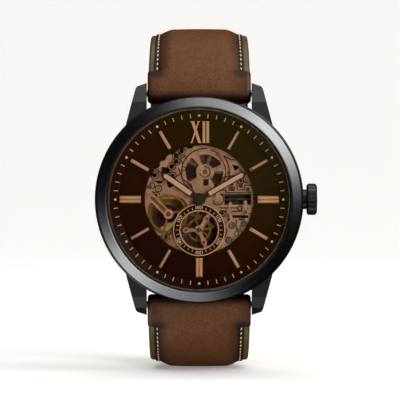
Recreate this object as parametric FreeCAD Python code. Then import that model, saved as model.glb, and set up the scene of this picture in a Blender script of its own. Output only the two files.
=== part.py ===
import FreeCAD, Part
import math
import os

# Skeleton wristwatch on a leather strap.
# Working frame: X towards 3 o'clock, Y towards 12 o'clock, Z up from the case back to the crystal.
# The finished pieces are stood upright: 12 o'clock points +Z and the dial faces -Y.
# All lengths in millimetres, angles in degrees.

os.makedirs("parts", exist_ok=True)

V = FreeCAD.Vector
UP = V(0, 0, 1)

# ---------------------------------------------------------------- driving sizes
case_dia = 44.0            # middle case
case_back_thick = 1.0      # flange of the screwed back
mid_case_top = 9.3         # joint between middle case and bezel
bezel_dia = 43.4
bezel_bore = 39.1
bezel_top = 11.5
crystal_thick = 1.8
crystal_seat = 10.2
crystal_gasket_wall = 0.2
dial_dia = 38.4
dial_opening = 22.9
dial_thick = 0.4
dial_level = 8.3
movement_dia = 29.8
plate_top = 8.0
plate_thick = 1.0
bridge_top = 4.7
bridge_thick = 0.9
strap_width = 22.0
strap_buckle_width = 18.0
strap_thick = 4.4
strap_tail_thick = 2.8
lining_thick = 1.0
bar_reach = 0.4             # spring bar beyond the edge of the middle case
lug_past_bar = 2.2
bar_w = 3.0
stem_level = 6.2
crown_dia = 6.67
crown_thick = 2.25
fit = 0.05                 # clearance between fitted pieces
run = 0.1                  # clearance around turning pieces

case_r = case_dia / 2
bar_y = case_r + bar_reach
lug_reach = bar_y + lug_past_bar
bezel_r = bezel_dia / 2
bezel_bore_r = bezel_bore / 2
crystal_r = bezel_bore_r - crystal_gasket_wall
crystal_top = crystal_seat + crystal_thick
dial_r = dial_dia / 2
opening_r = dial_opening / 2
dial_top = dial_level + dial_thick
dial_seat_r = dial_r + fit
move_r = movement_dia / 2
cavity_r = move_r + 1.6
plate_low = plate_top - plate_thick
bridge_low = bridge_top - bridge_thick

pieces = {}


# ---------------------------------------------------------------- helpers
def disc(r, w0, w1, at=(0, 0)):
    return Part.makeCylinder(r, w1 - w0, V(at[0], at[1], w0), UP)


def ring(r_out, r_in, w0, w1, at=(0, 0)):
    return disc(r_out, w0, w1, at).cut(disc(r_in, w0 - 1, w1 + 1, at))


def block(x0, x1, y0, y1, w0, w1):
    return Part.makeBox(x1 - x0, y1 - y0, w1 - w0, V(x0, y0, w0))


def prism(points, w0, w1):
    pts = [V(p[0], p[1], w0) for p in points]
    pts.append(pts[0])
    return Part.Face(Part.makePolygon(pts)).extrude(V(0, 0, w1 - w0))


def turned(profile, at=(0, 0)):
    pts = [V(at[0] + p[0], at[1], p[1]) for p in profile]
    pts.append(pts[0])
    return Part.Face(Part.makePolygon(pts)).revolve(V(at[0], at[1], 0), UP, 360)


def polar(r, deg, at=(0, 0)):
    a = math.radians(deg)
    return (at[0] + r * math.cos(a), at[1] + r * math.sin(a))


def arm(p, q, width, w0, w1):
    # straight arm with rounded ends from p to q
    dx, dy = q[0] - p[0], q[1] - p[1]
    length = math.hypot(dx, dy)
    nx, ny = -dy / length * width / 2, dx / length * width / 2
    body = prism([(p[0] + nx, p[1] + ny), (p[0] - nx, p[1] - ny),
                  (q[0] - nx, q[1] - ny), (q[0] + nx, q[1] + ny)], w0, w1)
    return join([body, disc(width / 2, w0, w1, p), disc(width / 2, w0, w1, q)])


def join(shapes):
    out = shapes[0]
    if len(shapes) > 1:
        out = out.multiFuse(shapes[1:])
    return out.removeSplitter()


def cut_all(body, tools):
    return body.cut(tools) if tools else body


def turn(shape, deg, at=(0, 0)):
    s = shape.copy()
    s.rotate(V(at[0], at[1], 0), UP, deg)
    return s


def rod(r, x0, x1, y=0.0, w=stem_level):
    return Part.makeCylinder(r, x1 - x0, V(x0, y, w), V(1, 0, 0))


def arc_slot(r, width, a0, a1, w0, w1, at):
    # curved slot of the given width on radius r between two angles
    pts = []
    steps = 10
    for i in range(steps + 1):
        pts.append(polar(r + width / 2, a0 + (a1 - a0) * i / steps, at))
    for i in range(steps + 1):
        pts.append(polar(r - width / 2, a1 + (a0 - a1) * i / steps, at))
    return prism(pts, w0, w1)


def add(name, *shapes):
    flat = []
    for s in shapes:
        flat.extend(s.Solids)
    pieces[name] = flat


# gears: straight-flanked teeth, backlash left between them
def mesh_phase(teeth_a, tooth_a, at_a, teeth_b, at_b):
    # angle of a tooth of wheel B so that it meshes with wheel A
    line = math.degrees(math.atan2(at_b[1] - at_a[1], at_b[0] - at_a[0]))
    step_a = 360.0 / teeth_a
    step_b = 360.0 / teeth_b
    part = ((line - tooth_a) / step_a) % 1.0
    return line + 180.0 + (part + 0.5) * step_b


def gear_wire(teeth, pitch_r, w, at, tooth_at, backlash=0.12):
    m = 2 * pitch_r / teeth
    tip = pitch_r + 0.85 * m
    root = pitch_r - 1.15 * m
    step = 2 * math.pi / teeth
    base = math.radians(tooth_at)
    pts = []
    for i in range(teeth):
        c = base + i * step
        wide = step * (0.36 - backlash / 4)
        slim = step * (0.13 - backlash / 8)
        for r, a in ((root, -wide), (tip, -slim), (tip, slim), (root, wide)):
            pts.append(V(at[0] + r * math.cos(c + a), at[1] + r * math.sin(c + a), w))
    pts.append(pts[0])
    return Part.makePolygon(pts)


def gear(teeth, pitch_r, w0, w1, at, tooth_at, bore=0.0):
    outer = Part.Face(gear_wire(teeth, pitch_r, w0, at, tooth_at))
    body = outer.extrude(V(0, 0, w1 - w0))
    return body.cut(disc(bore, w0 - 1, w1 + 1, at)) if bore else body


def spoked(teeth, pitch_r, w0, w1, at, tooth_at, hub_r, spokes, spoke_w, rim=0.45, bore=0.0):
    m = 2 * pitch_r / teeth
    rim_in = pitch_r - 1.15 * m - rim
    body = gear(teeth, pitch_r, w0, w1, at, tooth_at)
    windows = ring(rim_in, hub_r, w0 - 0.5, w1 + 0.5, at)
    keep = []
    for i in range(spokes):
        a = tooth_at + 360.0 * i / spokes
        bar = block(at[0], at[0] + pitch_r, at[1] - spoke_w / 2, at[1] + spoke_w / 2, w0 - 0.6, w1 + 0.6)
        keep.append(turn(bar, a, at))
    body = body.cut(windows.cut(keep))
    return body.cut(disc(bore, w0 - 1, w1 + 1, at)) if bore else body


def spiral(r0, r1, turns, thick, w0, w1, at, start=0.0):
    # flat coiled spring of constant strip thickness
    inner, outer = [], []
    n = int(turns * 12)
    for i in range(n + 1):
        t = i / n
        r = r0 + (r1 - r0) * t
        a = start + 360.0 * turns * t
        p = polar(r, a, at)
        q = polar(r + thick, a, at)
        inner.append(V(p[0], p[1], w0))
        outer.append(V(q[0], q[1], w0))
    c0 = Part.BSplineCurve()
    c0.interpolate(inner)
    c1 = Part.BSplineCurve()
    c1.interpolate(outer)
    edges = [c0.toShape(), Part.makeLine(inner[-1], outer[-1]), c1.toShape(), Part.makeLine(outer[0], inner[0])]
    wire = Part.Wire(Part.__sortEdges__(edges))
    return Part.Face(wire).extrude(V(0, 0, w1 - w0))


def screw_at(p, w_face, down, head_r=0.55, body_r=0.3, head=0.25, length=0.8, slot=True):
    # cheese-head screw: head sits on w_face; down=+1 drives the body towards +w
    s = 1 if down > 0 else -1
    lo, hi = sorted((w_face - s * head, w_face))
    b0, b1 = sorted((w_face, w_face + s * length))
    body = join([disc(head_r, lo, hi, p), disc(body_r, b0, b1, p)])
    if slot:
        top0, top1 = sorted((w_face - s * head, w_face - s * (head - 0.1)))
        cut = block(p[0] - head_r, p[0] + head_r, p[1] - 0.06, p[1] + 0.06, top0 - (s > 0) * 0.1, top1 + (s < 0) * 0.1)
        body = body.cut(turn(cut, 37.0 * (p[0] + p[1]), p))
    return body


# ---------------------------------------------------------------- case
lug_gap = strap_width + 0.3
lug_in = lug_gap / 2
case_low = case_back_thick
flat_y = bar_y - strap_thick / 2 - 0.25   # the case is cut straight between the lugs

mid = disc(case_r, case_low, mid_case_top)
edge = turned([(case_r - 0.5, mid_case_top + 0.1), (case_r + 0.5, mid_case_top + 0.1),
               (case_r + 0.5, mid_case_top - 0.45), (case_r + 0.05, mid_case_top - 0.45)])
mid = mid.cut(edge)
low_edge = turned([(case_r - 1.2, case_low - 0.1), (case_r + 0.5, case_low - 0.1),
                   (case_r + 0.5, case_low + 0.9), (case_r + 0.02, case_low + 0.9)])
mid = mid.cut(low_edge)
for s in (1, -1):
    y0, y1 = sorted((s * flat_y, s * (case_r + 1)))
    mid = mid.cut(block(-lug_in, lug_in, y0, y1, case_low - 1, mid_case_top + 1))

lug_root = bar_y - 8.4
lug_side = [(lug_root, 8.9), (bar_y - 5.4, 8.7), (bar_y - 1.8, 7.4), (bar_y + 0.6, 5.4), (lug_reach, 3.4),
            (lug_reach, 1.5), (lug_reach - 0.9, 0.5), (bar_y - 2.4, 0.9), (lug_root, 1.4)]
lug_plan = [(lug_in, lug_root), (lug_in + 4.75, lug_root), (lug_in + 4.45, lug_root + 1.2),
            (lug_in + 2.4, bar_y + 0.8), (lug_in + 2.05, bar_y + 1.5), (lug_in, lug_reach)]
side_pts = [V(0, p[0], p[1]) for p in lug_side]
side_pts.append(side_pts[0])
side_prism = Part.Face(Part.makePolygon(side_pts)).extrude(V(case_r, 0, 0))
lug = side_prism.common(prism(lug_plan, -1, 11))
lug_m = lug.mirror(V(0, 0, 0), V(1, 0, 0))
lugs = [lug, lug_m, lug.mirror(V(0, 0, 0), V(0, 1, 0)), lug_m.mirror(V(0, 0, 0), V(0, 1, 0))]
mid = join([mid] + lugs)
mid = mid.cut([disc(dial_seat_r, dial_level, mid_case_top + 1),
               disc(cavity_r, case_low - 1, dial_level + 1),
               disc(cavity_r + 1.0, case_low - 1, case_low + 1.2)])
bar_r = 0.75
pin_r = 0.4
pin_depth = 0.9
for s in (1, -1):
    pin_hole = Part.makeCylinder(pin_r + 0.02, lug_gap + 2 * pin_depth + 0.1,
                                 V(-lug_in - pin_depth - 0.05, s * bar_y, bar_w), V(1, 0, 0))
    mid = mid.cut(pin_hole)
tube_r = 1.3
tube_flange_r = 2.1
stem_r = 0.45
tube_bore = 0.85
mid = mid.cut(rod(tube_r, cavity_r - 1, case_r + 2))
seat = rod(tube_flange_r + fit, case_r - 0.35, case_r + 2)
mid = mid.cut(seat)
add("middle_case", mid)

bezel = turned([(dial_seat_r, mid_case_top), (bezel_r, mid_case_top), (bezel_r, mid_case_top + 0.75),
                (bezel_r - 0.25, mid_case_top + 1.0), (bezel_bore_r + 0.2, bezel_top), (bezel_bore_r, bezel_top - 0.15),
                (bezel_bore_r, crystal_seat), (dial_seat_r, crystal_seat)])
add("bezel", bezel)

add("crystal", turned([(0, crystal_seat), (crystal_r, crystal_seat), (crystal_r, crystal_top - 0.35),
                       (crystal_r - 0.4, crystal_top), (0, crystal_top)]))

# screwed back with a window
window_r = 14.4
glass_r = 15.0
back_thread_r = cavity_r + 1.0 - fit
back = turned([(window_r, 0.15), (window_r + 0.15, 0), (flat_y - 0.5, 0), (flat_y - 0.1, 0.4),
               (flat_y - 0.1, case_low), (back_thread_r, case_low), (back_thread_r, case_low + 1.1),
               (glass_r + 0.5, case_low + 1.1), (glass_r + 0.5, 0.35), (window_r, 0.35)])
for i in range(6):
    slot = block(flat_y - 1.5, flat_y + 1, -0.9, 0.9, -0.5, 0.45)
    back = back.cut(turn(slot, 60.0 * i + 30))
add("rear_cover", back)
add("glass_gaskets", ring(glass_r + 0.5, glass_r, 0.35, 1.15),
    ring(bezel_bore_r, crystal_r, crystal_seat, bezel_top - 0.35))
add("rear_glass", disc(glass_r, 0.35, 1.15))

# ---------------------------------------------------------------- dial side
feet = [disc(0.4, plate_top - 0.6, dial_level, polar(13.2, a)) for a in (70, 250)]
dial = join([ring(dial_r, opening_r, dial_level, dial_top)] + feet)
add("dial", dial)

chapter_in = 17.0
chapter_rise = 1.2
add("chapter_ring", turned([(chapter_in, dial_top), (dial_r, dial_top), (dial_r, dial_top + chapter_rise),
                            (dial_r - 0.3, dial_top + chapter_rise), (dial_r - 0.35, dial_top + chapter_rise - 0.15),
                            (chapter_in, dial_top + 0.25)]))

marker_in = 12.3
marker_out = 16.6
marker_wide = 0.7
marker_high = 0.5


def baton(r0, r1, width, x=0.0, high=marker_high, slope=0.16):
    # faceted bar lying along +Y
    base = block(x - width / 2, x + width / 2, r0, r1, dial_top, dial_top + high * 0.45)
    low = [V(x - width / 2, r0, 0), V(x + width / 2, r0, 0), V(x + width / 2, r1, 0), V(x - width / 2, r1, 0)]
    top = [V(x - width / 2 + slope, r0 + slope, 0), V(x + width / 2 - slope, r0 + slope, 0),
           V(x + width / 2 - slope, r1 - slope, 0), V(x - width / 2 + slope, r1 - slope, 0)]
    wires = []
    for pts, z in ((low, dial_top + high * 0.45), (top, dial_top + high)):
        q = [V(p.x, p.y, z) for p in pts]
        q.append(q[0])
        wires.append(Part.makePolygon(q))
    return join([base, Part.makeLoft(wires, True, True)])


markers = []
for hour in (1, 2, 4, 5, 7, 8, 10, 11):
    markers.append(turn(baton(marker_in, marker_out, marker_wide), -30.0 * hour))
for hour, far in ((3, 16.85), (9, 16.85), (6, 16.4)):
    pair = [baton(marker_in, far, 0.74, x) for x in (-0.4, 0.4)]
    tie = block(-0.2, 0.2, marker_in + 0.3, far - 0.3, dial_top, dial_top + 0.2)
    markers.append(turn(join(pair + [tie]), -30.0 * hour))

num_low = 11.9
num_top = 16.5
serif = 0.16


def stroke(x0, x1, wide):
    # slanting stroke from x0 at the foot to x1 at the head
    return prism([(x0 - wide / 2, num_low), (x0 + wide / 2, num_low),
                  (x1 + wide / 2, num_top), (x1 - wide / 2, num_top)], dial_top, dial_top + marker_high)


def bar_at(x0, x1, y0, y1):
    return block(x0, x1, y0, y1, dial_top, dial_top + marker_high)


x_parts = [stroke(0.1, -1.41, 0.66), stroke(-1.62, -0.1, 0.3)]
x_parts += [bar_at(-1.85, -0.98, num_top - serif, num_top), bar_at(-0.4, 0.16, num_top - serif, num_top)]
x_parts += [bar_at(-1.88, -1.37, num_low, num_low + serif), bar_at(-0.28, 0.46, num_low, num_low + serif)]
numeral = [join(x_parts)]
for xc in (1.0, 1.8):
    numeral.append(bar_at(xc - 0.28, xc + 0.28, num_low, num_top))
add("applied_markers", *(markers + numeral))

# small seconds
sec = (0.0, -6.42)
rim_high = 0.35
posts = [disc(0.3, plate_top, dial_top, polar(4.75, a, sec)) for a in (20, -20, 225)]
add("seconds_ring", join([ring(5.3, 4.2, dial_top, dial_top + 0.2, sec)] + posts))
pieces["applied_markers"] += [ring(5.5, 5.3, dial_top, dial_top + rim_high, sec),
                              ring(4.2, 4.0, dial_top, dial_top + rim_high, sec)]

# ---------------------------------------------------------------- gear train layout
centre = (0.0, 0.0)
barrel_at = (1.2, 5.8)
third_at = (1.5, -4.1)
escape_at = (-2.8, -6.5)
balance_at = (-6.5, -3.1)
crown_wheel_at = (6.4, 0.0)
minute_wheel_at = (1.68, 0.0)
setting_at = (3.99, 0.0)
reverser_at = (-2.9, 1.6)


def dist(p, q):
    return math.hypot(p[0] - q[0], p[1] - q[1])


def pitch(teeth, other, p, q):
    return dist(p, q) * teeth / (teeth + other)


def away(p, q):
    return math.degrees(math.atan2(q[1] - p[1], q[0] - p[0]))


barrel_low = bridge_top + 0.55
barrel_high = plate_low - 0.15
barrel_teeth, centre_leaves = 84, 12
centre_teeth, third_leaves = 64, 8
third_teeth, fourth_leaves = 60, 8
fourth_teeth, escape_leaves = 70, 7
ratchet_teeth, drive_teeth = 48, 36

barrel_pr = pitch(barrel_teeth, centre_leaves, barrel_at, centre)
barrel_tooth = away(barrel_at, centre)
drum_r = barrel_pr - 0.45
drum_wall = 0.2
drum = gear(barrel_teeth, barrel_pr, barrel_low, barrel_low + 0.4, barrel_at, barrel_tooth)
drum = join([drum, disc(drum_r, barrel_low + 0.3, barrel_high - 0.2, barrel_at)])
drum = drum.cut([disc(drum_r - drum_wall, barrel_low + 0.2, barrel_high, barrel_at),
                 disc(0.85 + run, barrel_low - 1, barrel_high, barrel_at)])

cover = ring(drum_r, 0.85 + run, barrel_high - 0.2, barrel_high, barrel_at)
cover_slots = []
for i in range(5):
    cover_slots.append(arc_slot(drum_r * 0.62, 2.3, 72 * i + 8, 72 * i + 64, barrel_high - 1, barrel_high + 1, barrel_at))
add("mainspring_barrel", drum, cover.cut(cover_slots))
add("mainspring", spiral(1.0, drum_r - drum_wall - 0.2, 8.0, 0.13, barrel_low + 0.3, barrel_high - 0.3, barrel_at, 20))
arbor = join([disc(0.85, barrel_low + 0.02, barrel_high, barrel_at), disc(0.5, 3.3, plate_top - 0.2, barrel_at)])
add("barrel_arbor", arbor)

ratchet_w0, ratchet_w1 = 3.35, 3.65
ratchet_pr = pitch(ratchet_teeth, drive_teeth, barrel_at, crown_wheel_at)
drive_pr = pitch(drive_teeth, ratchet_teeth, barrel_at, crown_wheel_at)
ratchet_tooth = away(barrel_at, crown_wheel_at)
ratchet = spoked(ratchet_teeth, ratchet_pr, ratchet_w0, ratchet_w1, barrel_at, ratchet_tooth, 1.5, 5, 0.9, 0.9, 0.5)
add("ratchet_wheel", ratchet)

wind_teeth, contrate_teeth = 16, 30
contrate_r = 1.6
wind_r = contrate_r * wind_teeth / contrate_teeth
drive_tooth = mesh_phase(ratchet_teeth, ratchet_tooth, barrel_at, drive_teeth, crown_wheel_at)
crown_wheel = [spoked(drive_teeth, drive_pr, ratchet_w0, ratchet_w1, crown_wheel_at, drive_tooth, 1.2, 4, 0.8, 0.7),
               disc(0.5, 3.3, 5.3, crown_wheel_at),
               disc(contrate_r + 0.2, 4.85, 5.15, crown_wheel_at)]
face_teeth = ring(contrate_r + 0.2, contrate_r - 0.25, 5.1, stem_level - wind_r + 0.02, crown_wheel_at)
gaps = []
for i in range(contrate_teeth):
    g = block(crown_wheel_at[0] + 1, crown_wheel_at[0] + 2.2, -0.09, 0.09, 5.15, 6)
    gaps.append(turn(g, 360.0 / contrate_teeth * (i + 0.5), crown_wheel_at))
crown_wheel.append(face_teeth.cut(gaps))
add("winding_crown_wheel", join(crown_wheel))

centre_pr = pitch(centre_teeth, third_leaves, centre, third_at)
centre_leaf_pr = pitch(centre_leaves, barrel_teeth, barrel_at, centre)
centre_tooth = away(centre, third_at)
centre_leaf = mesh_phase(barrel_teeth, barrel_tooth, barrel_at, centre_leaves, centre)
centre_wheel = join([spoked(centre_teeth, centre_pr, 4.85, 5.05, centre, centre_tooth, 0.7, 5, 0.4),
                     gear(centre_leaves, centre_leaf_pr, 5.05, barrel_low + 0.5, centre, centre_leaf),
                     disc(0.2, bridge_low + 0.2, 9.0, centre)])
add("centre_wheel", centre_wheel)

third_pr = pitch(third_teeth, fourth_leaves, third_at, sec)
third_leaf_pr = pitch(third_leaves, centre_teeth, centre, third_at)
third_tooth = away(third_at, sec)
third_leaf = mesh_phase(centre_teeth, centre_tooth, centre, third_leaves, third_at)
third_wheel = join([spoked(third_teeth, third_pr, 5.9, 6.1, third_at, third_tooth, 0.55, 5, 0.3, 0.35),
                    gear(third_leaves, third_leaf_pr, 4.8, 5.15, third_at, third_leaf),
                    disc(0.18, bridge_low + 0.2, plate_top + 0.1, third_at)])
add("third_wheel", third_wheel)

fourth_pr = pitch(fourth_teeth, escape_leaves, sec, escape_at)
fourth_leaf_pr = pitch(fourth_leaves, third_teeth, third_at, sec)
fourth_tooth = away(sec, escape_at)
fourth_leaf = mesh_phase(third_teeth, third_tooth, third_at, fourth_leaves, sec)
fourth_wheel = join([spoked(fourth_teeth, fourth_pr, 5.4, 5.6, sec, fourth_tooth, 0.55, 5, 0.3, 0.35),
                     gear(fourth_leaves, fourth_leaf_pr, 5.6, 6.2, sec, fourth_leaf),
                     disc(0.15, bridge_low + 0.2, 9.15, sec)])
add("fourth_wheel", fourth_wheel)

escape_leaf_pr = pitch(escape_leaves, fourth_teeth, sec, escape_at)
escape_leaf = mesh_phase(fourth_teeth, fourth_tooth, sec, escape_leaves, escape_at)
escape_teeth = 15
escape_r = 1.6
esc_pts = []
for i in range(escape_teeth):
    a = 360.0 / escape_teeth * i
    for r, da in ((1.15, 0), (escape_r, 8), (escape_r - 0.06, 11), (1.15, 7)):
        esc_pts.append(polar(r, a + da, escape_at))
escape = prism(esc_pts, 6.0, 6.2)
esc_win = ring(0.95, 0.4, 5.9, 6.3, escape_at)
esc_spokes = []
for i in range(4):
    esc_spokes.append(turn(block(escape_at[0], escape_at[0] + 1.1, escape_at[1] - 0.1, escape_at[1] + 0.1, 5.8, 6.4),
                           90.0 * i + 20, escape_at))
escape = escape.cut(esc_win.cut(esc_spokes))
escape = join([escape, gear(escape_leaves, escape_leaf_pr, 5.2, 6.05, escape_at, escape_leaf),
               disc(0.12, bridge_low + 0.2, plate_top + 0.1, escape_at)])
add("escape_wheel", escape)

# lever escapement
lever_dir = away(escape_at, balance_at)
pallet_gap = 2.15
pallet_at = polar(pallet_gap, lever_dir, escape_at)
roller_r = 0.42
fork_len = dist(pallet_at, balance_at) - roller_r


def on_lever(u, v):
    # point u along the lever and v across it, from the pallet arbor
    a = math.radians(lever_dir)
    return (pallet_at[0] + u * math.cos(a) - v * math.sin(a), pallet_at[1] + u * math.sin(a) + v * math.cos(a))


lever = prism([on_lever(-0.35, -1.25), on_lever(0.15, -1.15), on_lever(0.25, -0.14), on_lever(fork_len - 0.5, -0.1),
               on_lever(fork_len - 0.2, -0.3), on_lever(fork_len + 0.12, -0.3), on_lever(fork_len + 0.12, -0.13),
               on_lever(fork_len - 0.15, -0.11), on_lever(fork_len - 0.15, 0.11), on_lever(fork_len + 0.12, 0.13),
               on_lever(fork_len + 0.12, 0.3), on_lever(fork_len - 0.2, 0.3), on_lever(fork_len - 0.5, 0.1),
               on_lever(0.25, 0.14), on_lever(0.15, 1.15), on_lever(-0.35, 1.25), on_lever(-0.3, 0.9),
               on_lever(-0.25, 0), on_lever(-0.3, -0.9)], 5.95, 6.15)
lever = join([lever, disc(0.1, bridge_low + 0.3, 6.55, pallet_at), disc(0.25, 5.9, 6.25, pallet_at)])
stones = []
for s in (1, -1):
    stones.append(prism([on_lever(-0.36, s * 1.24), on_lever(-0.36, s * 1.0), on_lever(-0.62, s * 1.02),
                         on_lever(-0.7, s * 1.22)], 5.97, 6.13))
add("pallet_lever", lever, *stones)

balance_r = 4.1
rim_w0, rim_w1 = 7.3, 7.75
wheel = [ring(balance_r, balance_r - 0.5, rim_w0, rim_w1, balance_at)]
spoke_dir = 135.0
for da in (0, 120, 240):
    wheel.append(turn(block(balance_at[0], balance_at[0] + balance_r - 0.2, balance_at[1] - 0.22, balance_at[1] + 0.22,
                            7.4, 7.6), spoke_dir + da, balance_at))
wheel.append(disc(0.7, 7.35, 7.7, balance_at))
wheel = join(wheel)
weights = []
for i in range(4):
    p = polar(balance_r - 0.25, 45 + 90 * i + 15, balance_at)
    weights.append(disc(0.17, rim_w1, rim_w1 + 0.12, p))
balance_rim = join([wheel] + weights)
staff = join([disc(0.16, bridge_low + 0.25, 7.35, balance_at), disc(roller_r + 0.13, 6.25, 6.4, balance_at),
              disc(0.09, 5.93, 6.3, polar(roller_r, lever_dir + 180, balance_at))])
tip_pin = disc(0.12, 7.7, plate_top + 0.12, balance_at)
collet = ring(0.38, 0.16, 6.75, 7.0, balance_at)
add("balance_wheel", balance_rim, staff, tip_pin, collet)
stud = polar(2.25, 60, balance_at)
hair = spiral(0.35, 2.05, 7.5, 0.05, 6.8, 6.95, balance_at, 60 - 7.5 * 360)
add("hairspring", hair)

# ---------------------------------------------------------------- plates and bridges
open_lo, open_hi = plate_low - 1, plate_top + 1
plate = disc(move_r, plate_low, plate_top)
skirt = ring(move_r, move_r - 1.3, bridge_top, plate_low)
plate = join([plate, skirt])
holes = [disc(4.4, open_lo, open_hi, balance_at), disc(3.85, open_lo, open_hi, sec),
         disc(1.25, open_lo, open_hi, setting_at), block(5.3, 10.95, -1.15, 1.15, open_lo, open_hi),
         rod(0.75, 10, move_r + 2)]
# windows over the barrel
holes += [arc_slot(2.65, 2.1, 24, 110, open_lo, open_hi, barrel_at),
          arc_slot(2.9, 1.9, -52, 2, open_lo, open_hi, barrel_at),
          arc_slot(3.0, 2.2, 132, 214, open_lo, open_hi, barrel_at),
          block(0.75, 1.95, 2.9, 4.3, open_lo, open_hi),
          prism([(6.2, 2.9), (7.2, 2.9), (7.2, 4.0), (6.6, 4.3)], open_lo, open_hi),
          prism([(-9.2, 4.0), (-7.9, 3.9), (-7.5, 2.8), (-8.3, 3.2)], open_lo, open_hi),
          prism([(-3.4, 3.4), (-2.9, 2.2), (-4.2, 2.5), (-4.6, 3.2)], open_lo, open_hi),
          prism([(-6.9, 3.6), (-5.6, 3.9), (-5.2, 2.9), (-6.4, 2.3)], open_lo, open_hi),
          block(4.55, 5.5, -6.1, -5.4, open_lo, open_hi)]
holes += [prism([(6.9, 7.4), (8.5, 6.9), (7.6, 5.9)], open_lo, open_hi)]
collared_holes = ((-3.7, 10.1, 0.45), (-4.85, 9.25, 0.55), (-4.85, 8.0, 0.5), (-5.8, 6.95, 0.52), (-5.6, 5.0, 0.45),
                  (-8.6, 2.3, 0.4), (-9.2, 0.6, 0.62), (-9.4, 5.1, 0.5), (-2.2, 2.6, 0.35), (4.9, -3.0, 0.35),
                  (5.0, 3.2, 0.4), (8.8, 3.9, 0.35), (-7.05, -7.9, 0.45))
for x, y, r in collared_holes:
    holes.append(disc(r, open_lo, open_hi, (x, y)))
holes.append(prism([(-7.9, 6.9), (-6.5, 6.7), (-6.1, 5.7), (-7.2, 5.3), (-8.0, 5.9)], open_lo, open_hi))
holes.append(prism([(6.9, -3.3), (10.4, -3.3), (10.3, -3.9), (7.0, -3.9)], open_lo, open_hi))
# scalloped edge seen inside the dial opening between 10 and 12 o'clock
for a, r, d in ((100, 0.75, 11.6), (109, 0.55, 11.5), (119, 0.8, 11.75), (131, 0.6, 11.6), (141, 0.85, 11.75), (152, 0.5, 11.5)):
    holes.append(disc(r, open_lo, open_hi, polar(d, a)))
holes.append(arc_slot(11.75, 0.8, 96, 154, open_lo, open_hi, centre))
holes += [disc(0.4, plate_top - 0.65, open_hi, polar(13.2, a)) for a in (70, 250)]
for p, r in ((centre, 0.5), (barrel_at, 0.5)):
    holes.append(disc(r, open_lo, open_hi, p))
front_screws = [(-8.2, -8.0), (6.2, -8.5), (8.5, -6.5), (9.4, -5.2), (7.3, -5.4), (-10.5, 2.6), (9.6, 4.9)]
plate = plate.cut(holes)
plate_drill = [disc(0.3, plate_top - 0.7, plate_top + 0.1, p) for p in front_screws]
plate = plate.cut(plate_drill)
# milled pockets and engraved outlines on the dial side
relief_low = plate_top - 0.38
relief = []
for x, y, r in collared_holes:
    relief.append(ring(r + 0.42, r + 0.18, relief_low, open_hi, (x, y)))
for x, y, r in ((6.9, -5.5, 0.5), (6.2, -8.6, 0.55), (9.4, -5.15, 0.45), (4.1, 7.8, 0.3), (-9.9, 2.9, 0.45), (8.6, -1.9, 0.35),
                (-3.3, 6.5, 0.3), (5.1, -6.9, 0.3), (7.9, -7.2, 0.35)):
    relief.append(ring(r + 0.22, r, relief_low, open_hi, (x, y)))
relief += [arc_slot(4.98, 0.26, 84, 262, relief_low, open_hi, barrel_at),
           arc_slot(5.15, 0.26, -62, 40, relief_low, open_hi, barrel_at),
           arc_slot(4.4, 0.2, -24, 60, relief_low, open_hi, barrel_at),
           arc_slot(4.75, 0.24, 48, 74, relief_low, open_hi, barrel_at),
           arc_slot(1.15, 0.2, -170, 100, relief_low, open_hi, barrel_at),
           arc_slot(10.65, 0.2, 18, 40, relief_low, open_hi, centre),
           arc_slot(10.4, 0.22, -34, -14, relief_low, open_hi, centre),
           arc_slot(9.5, 0.16, 20, 34, relief_low, open_hi, centre),
           arc_slot(7.5, 0.2, -76, -34, relief_low, open_hi, centre)]
outlines = [[(4.9, 2.0), (5.6, 2.0), (5.6, 1.4), (10.9, 1.4)], [(6.3, 2.6), (6.3, 1.9), (7.4, 1.9), (7.4, 2.6), (6.3, 2.6)],
            [(8.0, 4.5), (8.0, 2.0), (9.6, 2.0), (9.6, 3.0), (10.9, 3.0)], [(9.3, 4.4), (9.3, 3.6), (10.3, 3.6)],
            [(4.2, 3.9), (5.5, 4.8), (6.9, 4.9)], [(6.0, 5.9), (7.0, 3.4)], [(2.6, -1.9), (3.6, -2.4), (3.9, -3.6), (4.9, -4.3)],
            [(4.4, -1.8), (8.2, -1.8)], [(6.9, -2.5), (8.9, -2.5), (8.9, -1.5)], [(10.1, -1.6), (10.1, -3.0), (11.2, -3.0)],
            [(7.8, -4.4), (7.8, -6.3), (9.0, -6.9)], [(4.6, -5.0), (5.9, -6.6), (5.4, -8.0)], [(6.6, -9.5), (8.2, -8.0), (9.6, -6.6)],
            [(2.4, -10.6), (4.2, -9.6)], [(2.6, 1.6), (3.4, 2.4), (3.2, 3.3)], [(-1.0, 1.4), (-2.0, 3.2), (-3.6, 4.4)],
            [(-4.4, 6.6), (-3.9, 5.4), (-5.2, 4.6), (-6.4, 4.9)], [(-9.8, 4.0), (-8.4, 3.4), (-7.4, 4.2)],
            [(-2.9, 9.3), (-3.9, 8.6), (-3.6, 7.6)], [(-10.6, 1.7), (-9.7, 1.6)], [(-1.2, 11.3), (0.9, 11.6)],
            [(5.2, 9.2), (6.6, 8.4), (7.6, 8.3)], [(4.1, -3.2), (5.0, -2.5), (6.1, -2.4)], [(3.2, -10.2), (3.4, -9.0)]]
for line in outlines:
    for p, q in zip(line, line[1:]):
        relief.append(arm(p, q, 0.26, relief_low, open_hi))
pockets = [(8.3, 9.2, 2.4, 3.3), (9.9, 10.6, 1.6, 2.5), (5.9, 6.5, -4.5, -3.6), (8.3, 9.4, -4.4, -4.0), (4.6, 5.2, 0.5, 1.2),
           (6.5, 7.2, 2.0, 2.5), (9.6, 10.3, -2.4, -1.8), (7.0, 7.6, 4.4, 5.2), (3.6, 4.2, -5.2, -4.4)]
relief += [block(x0, x1, y0, y1, relief_low, open_hi) for x0, x1, y0, y1 in pockets]
relief.append(disc(0.2, open_lo, open_hi, minute_wheel_at))
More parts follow.
